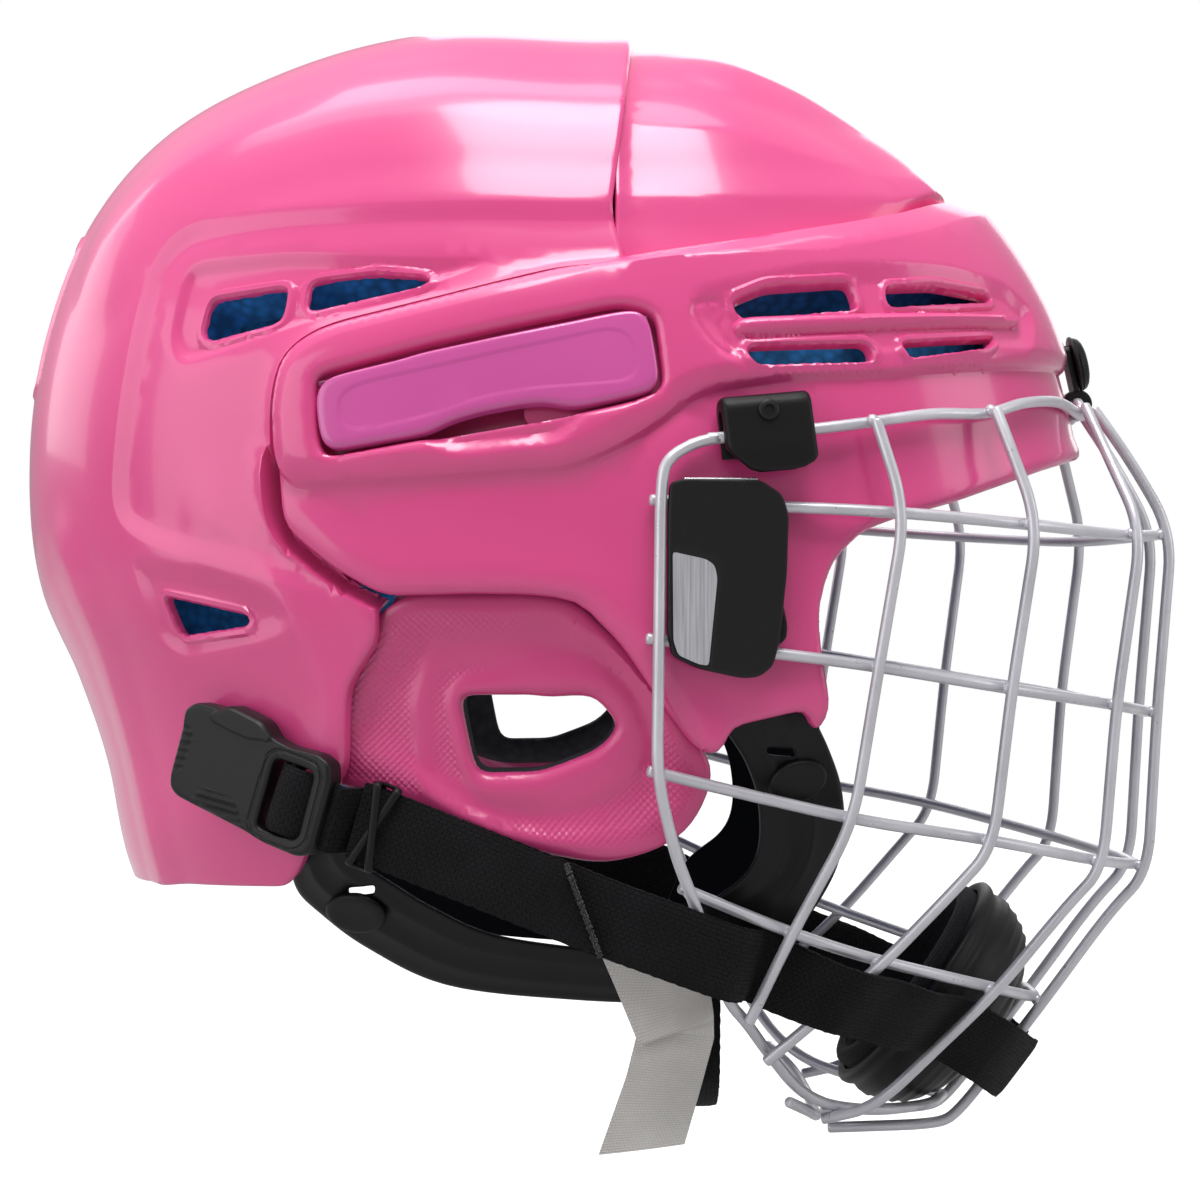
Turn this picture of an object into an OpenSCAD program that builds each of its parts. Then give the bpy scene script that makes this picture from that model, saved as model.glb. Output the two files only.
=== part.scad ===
// Youth ice hockey helmet with a flip-up wire cage, chin cup and webbing.
// +Z is up, the face looks towards -Y, and the wearer's right is -X.
// The origin is the middle of the head opening at ear-hole level.

/* [Shell] */
// Half width of the bare dome at ear level
dome_w = 88; // [86:0.5:90]
// Wall of the two moulded shells
wall = 2.7; // [2.4:0.1:3]
// Squareness of the dome's cross-sections
fullness = 2.5; // [2.4:0.05:2.6]
// Rise of the rear shell's outside above the front dome
lip_rise = 3; // [2.9:0.1:3.2]
// Rise of the brow and the side arms above the dome
brow_rise = 6.3; // [6.2:0.1:6.8]
// Rise of the brim and the cheeks above the dome
brim_rise = 3.3; // [3.3:0.1:3.6]
// Running gap between shells, pads and other pieces that lie against each other
gap = 0.3; // [0.2:0.05:0.4]
// Depth of the rear shell's wing under the dome, which lets it slide out from under the arm
wing_drop = 3; // [2.8:0.1:3.4]
// Depth of the sunk side panels of the rear shell
panel_depth = 1; // [0.6:0.1:1.3]

/* [Liner] */
// Thickness of the foam liner at the front, crown and back
liner_t = 13; // [10:0.5:15]
// Thickness of the foam liner at the sides
side_liner_t = 9; // [7:0.5:11]
// Thickness of the comfort pads
pad_t = 5; // [3:0.5:6]

/* [Ear guards] */
// Wall of the ear guards
guard_t = 2.4; // [2:0.1:3]
// Depth of the dish round the ear hole
dish = 2.6; // [2:0.1:3.2]

/* [Size levers] */
// Depth of the free gap round a size lever
lever_gap = 0.8; // [0.6:0.1:1]
// Diameter of a lever's hinge pins
lever_pin_d = 1.4; // [1.2:0.1:1.5]

/* [Cage] */
// Diameter of the cage wire
wire_d = 2.5; // [2.3:0.1:2.6]
// Gap left at a weld between two wires
weld_gap = 0.2; // [0.15:0.05:0.3]
// Length of wire taken up by a bend
bend = 9; // [6:0.5:12]
// Wall of the side clips that hold the cage
clip_t = 2.4; // [2:0.1:2.6]
// Length of a side clip along the wire
clip_len = 19; // [15:1:20]
// Thickness of the plates on the sides of the cage
plate_t = 1.5; // [1:0.1:1.6]
// Diameter of the bumper on the brow
bumper_d = 13; // [11:0.5:15]

/* [Chin cup] */
// Half width of the chin cup
cup_w = 34.5; // [32:0.5:35]
// Wall of the chin cup
cup_t = 3; // [2.4:0.1:3.5]
// Thickness of the chin cup's lining
cup_pad_t = 4; // [3:0.5:5]

/* [Straps] */
// Width of the cage webbing
strap_w = 16; // [14:0.5:16]
// Thickness of the cage webbing
strap_t = 1.8; // [1.4:0.1:2]
// Thickness of the webbing buckles
buckle_t = 5.5; // [4.5:0.5:6.5]
// Thickness of the moulded ear loops
loop_t = 2.6; // [2:0.1:3]
// Lean of the front ear loops towards the chin, per millimetre of drop
loop_lean = 0.28; // [0.26:0.01:0.3]
// Width of the chin strap
chin_strap_w = 15; // [12:0.5:16]

/* [Hidden] */

shell_colour = [0.88, 0.38, 0.61];
lever_colour = [0.78, 0.34, 0.62];
foam_colour = [0.11, 0.35, 0.55];
steel_colour = [0.68, 0.68, 0.71];
black_colour = [0.15, 0.15, 0.16];
big = 400;
seat = 0.1;
tuck = 1;
dome_steps = 36;
dome_rings = 16;
centre_z = 25;
cage_eye = [0, -35, -10];
hinge = [0, -120.5, 77.8];

// Side profile of the bare dome about [y 0, z 25]: angle from the back and radius.
profile = [[-90, 150], [-62, 127], [-42, 112], [-28, 107.5], [-16, 103.5], [-5, 106.5], [5, 115],
    [18, 123.5], [30, 131.5], [42, 138.8], [52, 141.3], [64, 139.5], [78, 137], [92, 133.8],
    [106, 137], [120, 134.3], [133, 132.5], [146, 129], [156, 124.5], [166, 121.5], [182, 120],
    [205, 126], [232, 141], [270, 150]];

// Outlines in the side view, as [y, z].
brow_line = [[-15.6, 104.9], [-30.9, 107.7], [-43.6, 109.9], [-63.1, 113.8], [-74.4, 116.6],
    [-81.6, 119.3], [-92, 122.5], [-106, 124], [-150, 124]];
ledge_line = [[-150, 84], [-117, 83.5], [-95.9, 81.9], [-66.5, 79], [-47.4, 77.8], [-30.7, 74.9],
    [-18.2, 65.5], [-5.9, 59.3], [25, 56.8], [53.2, 55.3]];
arm_end = [[57, 58], [58.2, 65], [58.2, 74.1], [56.6, 82.5], [52.5, 86.6], [46.2, 89.7],
    [25.3, 94.8], [-1.7, 101.6]];
cheek_edge = [[56.6, 50], [55.2, 47], [44.7, 38.7], [35.3, 33.5], [14.7, 34.1], [-4.9, 33.1],
    [-14.1, 24.3], [-22.4, 11.9], [-30.7, 0.5], [-36, 0.2], [-36.8, 5.8], [-54, 9.7],
    [-55.2, 4], [-58.4, 8.6], [-58.2, 11.7], [-56.1, 24.2], [-56.1, 32.5], [-58.9, 40.8],
    [-65.3, 47.1], [-72.8, 49.9], [-86.1, 53.6], [-108.1, 61.3], [-150, 74]];
seam = [[-17.1, 180], [-17.1, 156.4], [-15.4, 137.6], [-12.5, 115.6], [-15.6, 105.7]];
side_panel = [[94.5, 53.8], [92.4, 75.2], [89, 96], [84, 109], [77.8, 113.5], [60, 115.5],
    [32.2, 116.6], [-30, 116.7], [-30, 60], [35.5, 30.5], [82.8, 43], [92.1, 47.4]];
vents = [
    [[-38.2, 95], [-45.5, 98.1], [-63.2, 99.8], [-64.6, 94.6], [-39.6, 92]],
    [[-71.4, 99], [-82.6, 100], [-95, 98.7], [-95, 97.9], [-71.6, 95.4]],
    [[-41.2, 85.6], [-67, 86.8], [-68, 83.4], [-42.4, 82.1]],
    [[-74.4, 87], [-95.3, 89.2], [-93.3, 87.1], [-75.8, 84.3]]];
rear_vents = [
    [[73.2, 96.9], [57.2, 99], [58.2, 92.5], [73.8, 88.8], [75, 90]],
    [[51.2, 100.2], [38.2, 101.8], [26.4, 100.8], [27, 99.4], [52, 94.7]],
    [[81.8, 32.6], [64, 28.8], [64.4, 27.6], [78.8, 25.4]]];
lever_top = [[48.4, 78.5], [25.1, 84.2], [3, 89.1], [-14.1, 92.6], [-20.4, 91.3]];
lever_low = [[47.8, 63.2], [25, 67.1], [3, 70.6], [-14.1, 74.2], [-22.6, 76.6]];
ear_outline = [[29.4, 34.5], [-2.7, 34.5], [-15, 23.5], [-27, 8.5], [-34.5, -2.8],
    [-33, -8], [-28.7, -16.4], [-20.4, -20.8], [-10, -23], [10, -18.5], [30, -9.5], [44, -3],
    [46, 14], [40, 26]];
ear_hole = [[19.5, 11.5], [18, 12.6], [-9, 12.6], [-14.4, 6], [-10, 1], [2.5, -3.7], [15, -4.2],
    [16.4, -3]];
ear_centre = [3, 5];

// Wires of the cage, right side, outermost first. Each list starts at the top.
rim_top = [[-91.6, -31, 65.7], [-89.8, -43, 66.6], [-87.2, -55, 68]];
rim_side = [[-94.4, -23.5, 61.5], [-94.9, -22.5, 55.1], [-95.2, -22.1, 24.3],
    [-94.4, -21.7, -3.7], [-89.5, -25.3, -19.3], [-84.5, -28.8, -28.6], [-78, -33.5, -41]];
upright = [
    [[-85.6, -67.3, 70.2], [-88, -73.3, 50.8], [-86, -67.9, 18.3], [-82, -62.9, -14],
        [-74, -50.3, -38.5], [-69.8, -41.5, -57.5]],
    [[-69.2, -94, 73.4], [-76, -102.3, 48.9], [-72, -97.2, 13.5], [-69, -93.5, -20.2],
        [-68, -85.5, -29.2], [-63, -69.9, -46.2], [-60.3, -45.5, -67]],
    [[-27, -118.8, 76.3], [-47.5, -128.5, 47.8], [-46, -123.2, 9.5], [-44, -120.5, -26.4],
        [-43, -112.9, -34.6], [-41, -96.8, -54.5], [-37, -71, -80], [-37, -59, -82.6]],
    [[-10, -123.1, 76.5], [-12, -131.3, 64.5], [-13.6, -140.6, 48], [-13.6, -137.2, 6.9],
        [-13.6, -135.1, -29.6], [-13.6, -126.4, -38.7], [-13.6, -110.9, -59.7],
        [-13.3, -91.5, -85], [-13.3, -86.5, -87.2], [-13.3, -62, -88]]];
// Place of bars 1 to 4 in each upright's list and in the rim's side.
crossing = [[1, 2, 3, 4], [1, 2, 3, 5], [1, 2, 3, 5], [2, 3, 4, 6]];
rim_crossing = [1, 2, 3, 5];
jaw = [[-72, -37, -52.5], [-66.9, -41.3, -57.6], [-57.7, -46, -64.9], [-47, -53, -74.5],
    [-37, -60.5, -79.6], [-27, -72, -82.2], [-14, -85.5, -82.6], [0, -89.5, -82.3]];
chin_run = [[-49.3, -51.2, -77], [-37, -56.2, -80.8], [-20, -59, -84.2], [0, -59.5, -85.6]];

// Webbing, right side, from the buckle to its end by the cup: place, then outward direction.
strap_run = [[-87, 40.6, -13, -1, 0, 0], [-87.3, 36.6, -14.4, -1, 0, 0],
    [-88.6, 10.7, -24.6, -1, 0, -0.05], [-88, -10, -32.9, -1, -0.1, -0.1],
    [-87, -22.8, -37.7, -0.95, -0.3, -0.13], [-81.1, -36.2, -43.1, -0.77, -0.63, -0.13],
    [-75.8, -40.6, -44.6, -0.75, -0.65, -0.2], [-70.2, -43.6, -45.2, -0.77, -0.55, -0.3],
    [-67.4, -49.1, -48, -0.87, -0.4, -0.36], [-66.7, -55.8, -50.9, -0.9, -0.3, -0.42],
    [-66, -62.8, -53.5, -0.87, -0.23, -0.46],
    [-58, -70.5, -56, -0.75, -0.45, -0.5], [-49, -79, -59.5, -0.62, -0.55, -0.58],
    [-37, -86.5, -61.8, -0.57, -0.53, -0.62], [-27, -98, -69, -0.3, -0.7, -0.63],
    [-13.6, -104.4, -74.2, 0, -0.8, -0.6], [-8, -105.6, -74.8, 0, -0.8, -0.6]];
loop_front = [[[-35.8, 12], [-55, 14]], [[-36, 5.9], [-54.2, 9.6]], [[-40.1, -0.8], [-58.1, 1.1]],
    [[-43, -9], [-61, -7.3]], [[-43.5, -19], [-61.8, -17.5]], [[-40.5, -26], [-59.5, -27]],
    [[-32, -33], [-52, -39]], [[-27, -43], [-39.5, -53]]];
loop_rear = [[[44.5, -16], [56, -20]], [[41, -22], [55, -29]], [[34, -27], [50, -34.5]],
    [[25, -32.6], [40, -42]], [[12, -38.4], [23, -50]], [[-10, -41.8], [-4, -53]],
    [[-24, -44], [-24, -54]], [[-33, -45.5], [-34, -54]]];

// Small helpers.
function unit(v) = v / norm(v);
function flip(p) = [-p.x, p.y, p.z];
function reversed(l) = [for (i = [len(l) - 1:-1:0]) l[i]];
function tail(l) = [for (i = [1:len(l) - 1]) l[i]];
function flat(v, t) = v - t * (v * t);

// Slope of the profile's curve at its point i.
function slope(i) = let (
        n = len(profile) - 1,
        a = i > 0 ? profile[i - 1] : profile[n - 1] - [360, 0],
        b = i < n ? profile[i + 1] : profile[1] + [360, 0])
    (b[1] - a[1]) / (b[0] - a[0]);

// Radius of the bare dome's profile at an angle.
function radius(a) = let (
        t = (a + 450) % 360 - 90,
        i = max([for (k = [0:len(profile) - 2]) if (profile[k][0] <= t) k]),
        p = profile[i],
        q = profile[i + 1],
        h = q[0] - p[0],
        u = (t - p[0]) / h)
    (2 * u ^ 3 - 3 * u ^ 2 + 1) * p[1] + (u ^ 3 - 2 * u ^ 2 + u) * h * slope(i)
    + (3 * u ^ 2 - 2 * u ^ 3) * q[1] + (u ^ 3 - u ^ 2) * h * slope(i + 1);

// Half width of the dome, raised by rise, under the side-view point [y, z].
function half_width(y, z, rise) = let (
        r = norm([y, z - centre_z]),
        q = min(1, r / (radius(atan2(z - centre_z, y)) + rise)))
    (dome_w + rise) * (1 - q ^ fullness) ^ (1 / fullness);
function on_dome(p, rise) = [-half_width(p[0], p[1], rise), p[0], p[1]];

// Six times a mesh's signed volume.
function span(p, f) = [for (t = f) p[t[0]] * cross(p[t[1]], p[t[2]])];
function total(v) = v * [for (x = v) 1];

// Closed mesh with its faces turned the right way out.
module mesh(p, f) {
    out = total(span(p, f)) < 0 ? f : [for (t = f) reversed(t)];
    polyhedron(points = p, faces = out, convexity = 6);
}

// Solid through a list of rings with equal counts of points.
module loft(rings, closed = false) {
    n = len(rings);
    m = len(rings[0]);
    last = closed ? n - 1 : n - 2;
    sides = [for (i = [0:last]) for (j = [0:m - 1]) let (
            a = i * m + j,
            b = i * m + (j + 1) % m,
            c = ((i + 1) % n) * m + j,
            d = ((i + 1) % n) * m + (j + 1) % m)
        each [[a, b, d], [a, d, c]]];
    caps = closed ? [] : [for (j = [1:m - 2]) each [[0, j + 1, j],
        [(n - 1) * m, (n - 1) * m + j, (n - 1) * m + j + 1]]];
    mesh([for (r = rings) each r], concat(sides, caps));
}

// Direction of a path at its point i.
function along(p, i, closed) = let (n = len(p))
    unit(p[closed ? (i + 1) % n : min(i + 1, n - 1)] - p[closed ? (i + n - 1) % n : max(i - 1, 0)]);

// Round wire along a path.
module tube(path, d, sides = 7, closed = false, eye = cage_eye) {
    loft([for (i = [0:len(path) - 1]) let (
            t = along(path, i, closed),
            u = unit(flat(path[i] - eye, t)),
            v = cross(t, u))
        [for (k = [0:sides - 1]) let (a = (k + 0.35) * 360 / sides)
            path[i] + (u * cos(a) + v * sin(a)) * d / 2 / cos(90 / sides)]], closed);
}

// Flat band of a width and thickness along a path, with the way that its face looks.
module ribbon(path, facing, w, t) {
    loft([for (i = [0:len(path) - 1]) let (
            s = along(path, i, false),
            u = unit(flat(facing[i], s)),
            v = cross(s, u))
        [for (k = [[-1, -1], [1, -1], [1, 1], [-1, 1]])
            path[i] + v * (k[0] * w / 2) + u * (k[1] * t / 2)]]);
}

// Path with a round bend at each corner.
function bent(p, r, n = 2) = [p[0],
    for (i = [1:len(p) - 2]) let (
            a = p[i] + unit(p[i - 1] - p[i]) * min(r, norm(p[i - 1] - p[i]) * 0.45),
            b = p[i] + unit(p[i + 1] - p[i]) * min(r, norm(p[i + 1] - p[i]) * 0.45))
        for (k = [0:n]) let (u = k / n) a * (1 - u) ^ 2 + p[i] * 2 * u * (1 - u) + b * u ^ 2,
    p[len(p) - 1]];

// Middle of the bend at a path's corner i.
function knee(p, i, r) = let (
        a = p[i] + unit(p[i - 1] - p[i]) * min(r, norm(p[i - 1] - p[i]) * 0.45),
        b = p[i] + unit(p[i + 1] - p[i]) * min(r, norm(p[i + 1] - p[i]) * 0.45))
    (a + 2 * p[i] + b) / 4;

// Smooth path through all of its points.
function smooth(p, n = 3) = [for (i = [0:len(p) - 2]) let (
            a = p[max(i - 1, 0)],
            b = p[i],
            c = p[i + 1],
            d = p[min(i + 2, len(p) - 1)])
        for (k = [0:n - 1]) let (u = k / n)
            b + (c - a) * u / 2 + (2 * a - 5 * b + 4 * c - d) * u ^ 2 / 2
            + (3 * b - a - 3 * c + d) * u ^ 3 / 2,
    p[len(p) - 1]];
function both_sides(p) = concat(p, [for (i = [len(p) - 2:-1:0]) flip(p[i])]);

// Closed dome, raised by rise over its profile and by side over its half width.
module dome(rise, side, steps = dome_steps, rings = dome_rings) {
    r = [for (i = [0:steps - 1]) radius(i * 360 / steps) + rise];
    e = 2 / fullness;
    p = [[-dome_w - side, 0, centre_z],
        for (j = [1:rings - 1]) let (
                f = j * 180 / rings - 90,
                x = (dome_w + side) * sign(f) * abs(sin(f)) ^ e,
                c = cos(f) ^ e)
            for (i = [0:steps - 1]) let (a = i * 360 / steps)
                [x, r[i] * c * cos(a), centre_z + r[i] * c * sin(a)],
        [dome_w + side, 0, centre_z]];
    last = len(p) - 1;
    f = [for (i = [0:steps - 1]) let (k = (i + 1) % steps) each concat(
        [[0, 1 + i, 1 + k], [last, last - steps + k, last - steps + i]],
        [for (j = [0:rings - 3]) let (
                a = 1 + j * steps + i,
                b = 1 + j * steps + k)
            each [[a, a + steps, b + steps], [a, b + steps, b]]])];
    mesh(p, f);
}

// Layer of the dome between two rises.
module skin(low, high) {
    difference() {
        dome(high, high);
        dome(low, low);
    }
}

// Side-view outline carried across the whole helmet.
module across(r = 0) {
    rotate([90, 0, 90])
        linear_extrude(big, center = true)
            offset(r = r, $fn = 12)
                offset(delta = -r)
                    children();
}
module outline(p, r = 0) {
    across(r)
        polygon(p);
}

// Convex hole through one side wall.
module side_hole(p, r, grow = 0, side = -1) {
    hull()
        for (q = p)
            translate([side * big / 4, q[0], q[1]])
                rotate([0, 90, 0])
                    cylinder(r = r + grow, h = big / 2 - 80, center = true, $fn = 8);
}
module both_holes(p, r, grow = 0) {
    side_hole(p, r, grow, -1);
    side_hole(p, r, grow, 1);
}

// Outline of the brow with its two arms, and of the brim with the cheeks.
function band_outline() = concat(brow_line, ledge_line, arm_end);
function cheek_outline() = concat(shifted(ledge_line, wall / 2), cheek_edge);
function shifted(p, dz) = [for (q = p) q + [0, dz]];

// Window in the arm that a size lever closes.
module lever_window(side) {
    hull()
        for (q = concat(shifted(lever_top, 1), lever_low))
            translate([side * big / 4, q[0], q[1]])
                rotate([0, 90, 0])
                    cylinder(r = lever_gap, h = big / 2 - 80, center = true, $fn = 8);
}

// Hinge line of a size lever: two points near its top edge.
lever_axis = [for (p = [[46.5, 77.6], [-18, 90.5]]) on_dome(p, brow_rise - 0.9)];

module lever_pin(clear = 0) {
    a = lever_axis[0];
    b = lever_axis[1];
    t = unit(b - a);
    for (s = [[a, -1], [b, 1]])
        translate(s[0] + t * s[1] * 1.6)
            rotate([0, acos(t.z), atan2(t.y, t.x)])
                cylinder(d = lever_pin_d + clear, h = 6 + clear, center = true, $fn = 24);
}

module front_shell() color(shell_colour) difference() {
    union() {
        // Dome, with a sunk tongue that runs under the rear shell
        intersection() {
            skin(-wall, 0);
            outline(concat([[-13.5, 180], [-13.5, 102]], shifted(brow_line, -2.5), [[-150, 180]]));
        }
        intersection() {
            skin(-2 * wall + 0.2, -wall + 0.2);
            outline([[-20, 180], [2, 180], [2, 130], [-3, 121], [-12, 116], [-20, 116]]);
        }
        // Brow and arms
        intersection() {
            skin(brow_rise - wall, brow_rise);
            outline(band_outline(), 1.5);
        }
        // Step up from the dome to the brow
        intersection() {
            skin(seat - wall, brow_rise - seat);
            outline(concat([[-17.5, 105.2]], shifted(tail(brow_line), -seat),
                reversed(shifted(tail(brow_line), -wall)), [[-17.5, 102.7]]));
        }
        // Brim and cheeks, and the step down to them
        intersection() {
            skin(brim_rise - wall, brim_rise);
            outline(cheek_outline());
        }
        intersection() {
            skin(brim_rise - wall + seat, brow_rise - seat);
            outline(concat(shifted(ledge_line, -seat), reversed(shifted(ledge_line, wall))));
        }
    }
    for (v = vents)
        both_holes(v, 0.5);
    lever_window(-1);
    lever_window(1);
    for (s = [0, 1])
        mirror([s, 0, 0])
            lever_pin(0.1);
}

// Side view of the rear shell, of the front shell's arm, and of the arm's low panel.
module rear_region() polygon(concat(seam, [[-12, 62], [30, 62], [36.5, 39], [36.5, 24.2],
    [42.9, 13.8], [43, -2.8], [50, -15], [53, -24], [56, -28.3], [81, -29.2], [100, -30.8],
    [150, -31], [150, 180]]));
module arm_region() polygon(concat([[-40, 104.9]], [[-40, 36]], [[35.3, 36]],
    [for (p = reversed(cheek_edge)) if (p[0] > 36) p], arm_end));
module low_region() polygon(concat([[-40, 75.5]], [[-40, 30]], [[35.3, 33.5]],
    [for (p = reversed(cheek_edge)) if (p[0] > 36) p], [[57.5, 62], [53.2, 56.7], [25, 58.2]]));
module clear_region() {
    offset(delta = -tuck)
        arm_region();
    offset(delta = 2 * gap)
        low_region();
}
module wing_region() intersection() {
    offset(delta = 3 * seat)
        clear_region();
    translate([3, 38.5])
        square([200, 200]);
}

module rear_shell() color(shell_colour) difference() {
    union() {
        intersection() {
            skin(lip_rise - wall, lip_rise);
            across()
                difference() {
                    rear_region();
                    clear_region();
                }
        }
        // Step down to the wing that slides under the front shell's arm
        intersection() {
            skin(seat - wing_drop - wall, lip_rise - seat);
            across()
                intersection() {
                    difference() {
                        offset(delta = 2)
                            clear_region();
                        offset(delta = seat)
                            clear_region();
                    }
                    rear_region();
                    translate([3 + seat, 39])
                        square([200, 200]);
                }
        }
        intersection() {
            skin(-wing_drop - wall, -wing_drop);
            across()
                wing_region();
        }
    }
    // Sunk side panels
    difference() {
        outline(side_panel, 4);
        dome(lip_rise - panel_depth, lip_rise - panel_depth);
        across()
            offset(delta = 2.5)
                clear_region();
    }
    for (v = rear_vents)
        both_holes(v, 0.8);
    // Back vent slots on either side of the middle
    for (s = [-1, 1])
        hull()
            for (z = [84, 108])
                translate([s * 24, 100, z])
                    rotate([-80, 0, 0])
                        cylinder(r = 4, h = 60, center = true, $fn = 16);
}

liner_seat = 1.2;
module foam_layer(top) {
    difference() {
        dome(top, top, 30, 12);
        dome(top - liner_t, top - side_liner_t, 30, 12);
    }
}

module front_liner() color(foam_colour) difference() {
    intersection() {
        foam_layer(-wall - liner_seat);
        outline([[-2, 180], [-2, 44], [-56, 44], [-66, 51], [-88, 58], [-110, 66], [-140, 76],
            [-150, 180]]);
    }
    intersection() {
        dome(5, 5, 30, 12);
        difference() {
            outline([[-22, 190], [10, 190], [10, 112], [-22, 112]]);
            dome(0.2 - 2 * wall - liner_seat, 0.2 - 2 * wall - liner_seat, 30, 12);
        }
    }
    for (v = [vents[0], vents[1]])
        both_holes(v, 1);
    for (s = [-1, 1]) {
        hull()
            for (y = [-100, -40])
                translate([s * 34, y, 150])
                    cylinder(r = 5, h = 60, center = true, $fn = 16);
        hull()
            for (y = [-110, -80])
                translate([s * 20, y, 100])
                    rotate([70, 0, 0])
                        cylinder(r = 5, h = 30, center = true, $fn = 16);
    }
}

module rear_liner() color(foam_colour) difference() {
    intersection() {
        foam_layer(gap - liner_seat);
        outline([[2.4, 180], [2.4, 44], [38, 44], [48, 32], [50, 4], [58, -25], [150, -25],
            [150, 180]]);
    }
    // Room for the wing of the shell
    difference() {
        across()
            intersection() {
                offset(delta = 3)
                    clear_region();
                translate([0, 37])
                    square([200, 200]);
            }
        dome(-wall - wing_drop - liner_seat, -wall - wing_drop - liner_seat, 30, 12);
    }
    for (v = rear_vents)
        both_holes(v, 1.2);
    for (s = [-1, 1])
        hull()
            for (y = [20, 80])
                translate([s * 34, y, 140])
                    cylinder(r = 5, h = 90, center = true, $fn = 16);
}

// Comfort pads follow the inside of the liner. Point of that inside at x and z, in front of the
// ears or behind them, with the pad's depth.
pad_seat = 2.8;
function inside_from(x, z, top, side, way, y, n) = let (
        c = (1 - (abs(x) / (dome_w + side)) ^ fullness) ^ (1 / fullness),
        r = (radius(atan2(z - centre_z, y)) + top) * c,
        q = way * sqrt(max(1, r ^ 2 - (z - centre_z) ^ 2)))
    n == 0 ? [x, q, z] : inside_from(x, z, top, side, way, q, n - 1);
function pad_ring(x, low, high, rear, deep) = let (
        way = rear ? 1 : -1,
        t = (rear ? 0 : -wall - gap) - liner_t - pad_seat,
        w = (rear ? 0 : -wall - gap) - side_liner_t - pad_seat,
        k = 1 - 0.35 * (abs(x) / 60) ^ 2,
        mid = (low + high) / 2)
    [inside_from(x, low, t, w, way, way * 90, 3), inside_from(x, high, t, w, way, way * 90, 3),
        inside_from(x, mid + (high - low) * 0.3, t, w, way, way * 90, 3) - [0, way * deep * k, 0],
        inside_from(x, mid - (high - low) * 0.3, t, w, way, way * 90, 3) - [0, way * deep * k, 0]];
module brow_pad() color(black_colour)
    loft([for (x = [-54, -48, -38, -26, -13, 0, 13, 26, 38, 48, 54])
        pad_ring(x, 64, 80, false, abs(x) > 50 ? pad_t * 0.4 : pad_t)]);

module crown_pad() color(black_colour)
    loft([for (y = [-52, -48, -36, -24, -12, -8]) let (
            deep = y == -52 || y == -8 ? pad_t * 0.5 : pad_t,
            z = [for (x = [-22, -11, 0, 11, 22]) let (
                    k = (1 - (abs(x) / (dome_w - 2 * wall - side_liner_t)) ^ fullness) ^ (1 / fullness),
                    r = (radius(atan2(110, y)) - 2 * wall - liner_t - pad_seat / 2) * k)
                [x, y, centre_z + sqrt(r ^ 2 - y ^ 2)]])
        concat(z, [for (i = [4:-1:0]) z[i] - [z[i].x * 0.12, 0, i == 0 || i == 4 ? deep * 0.6 : deep]])]);

module occipital_pad() color(black_colour)
    loft([for (x = [-54, -48, -36, -24, -12, 0, 12, 24, 36, 48, 54])
        pad_ring(x, 4, 26, true, abs(x) > 50 ? pad_t * 0.4 : pad_t)]);

module temple_pad() color(black_colour)
    loft([for (y = [-44, -40, -30, -20, -10, -6]) let (
            deep = y == -44 || y == -6 ? pad_t * 0.4 : pad_t,
            a = on_dome([y, 50], -wall - side_liner_t - pad_seat - gap),
            b = on_dome([y, 61], -wall - side_liner_t - pad_seat - gap),
            c = on_dome([y, 72], -wall - side_liner_t - pad_seat - gap))
        [a, b, c, c + [deep * 0.7, 0, -2], b + [deep, 0, 0], a + [deep * 0.7, 0, 2]]]);

// Distance from c to an outline in the direction a.
function reach(p, c, a) = let (
        n = len(p),
        d = [cos(a), sin(a)])
    max([for (i = [0:n - 1]) let (
            u = p[i] - c,
            e = p[(i + 1) % n] - p[i],
            det = d[0] * e[1] - d[1] * e[0],
            t = (u[0] * e[1] - u[1] * e[0]) / det,
            s = (u[0] * d[1] - u[1] * d[0]) / det)
        if (abs(det) > 0.0001 && s >= -0.0001 && s <= 1.0001 && t > 0) t]);

// Share of the way out to the rim, and depth of the guard's face below its rim there.
guard_steps = [[0, 1], [0.52, 1], [0.7, 0.7], [0.8, 0.05], [1, 0.2]];
module ear_guard() color(shell_colour)
    loft([for (k = [0:23]) let (
            a = k * 15,
            h = reach(ear_hole, ear_centre, a),
            o = reach(ear_outline, ear_centre, a),
            line = [for (g = guard_steps) let (
                    q = ear_centre + (h + (o - h) * g[0]) * [cos(a), sin(a)])
                [q, -gap - 0.4 - dish * g[1]]])
        concat([for (l = line) on_dome(l[0], l[1])],
            [for (l = reversed(line)) on_dome(l[0], l[1] - guard_t)])], closed = true);

// Strip that follows the dome between two rises; stations are pairs of side-view points.
function strip_ring(s, low, high, m, lean, top) = let (
        line = [for (k = [0:m]) s[0] + (s[1] - s[0]) * k / m])
    concat([for (q = line) on_dome(q, high - lean * max(0, top - q[1]))],
        [for (q = reversed(line)) on_dome(q, low - lean * max(0, top - q[1]))]);
module strip(stations, low, high, m = 2, lean = 0, top = 0) {
    loft([for (s = stations) strip_ring(s, low, high, m, lean, top)]);
}
function eased(s, n = 2) = let (
        a = smooth([for (q = s) q[0]], n),
        b = smooth([for (q = s) q[1]], n))
    [for (i = [0:len(a) - 1]) [a[i], b[i]]];

module size_lever() color(lever_colour) difference() {
    strip([for (i = [0:len(lever_top) - 1]) [lever_top[i], lever_low[i]]],
        brow_rise - wall, brow_rise, 3);
    lever_pin(0.1);
}

module lever_pins() color(steel_colour)
    for (s = [0, 1])
        mirror([s, 0, 0])
            lever_pin();

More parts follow.
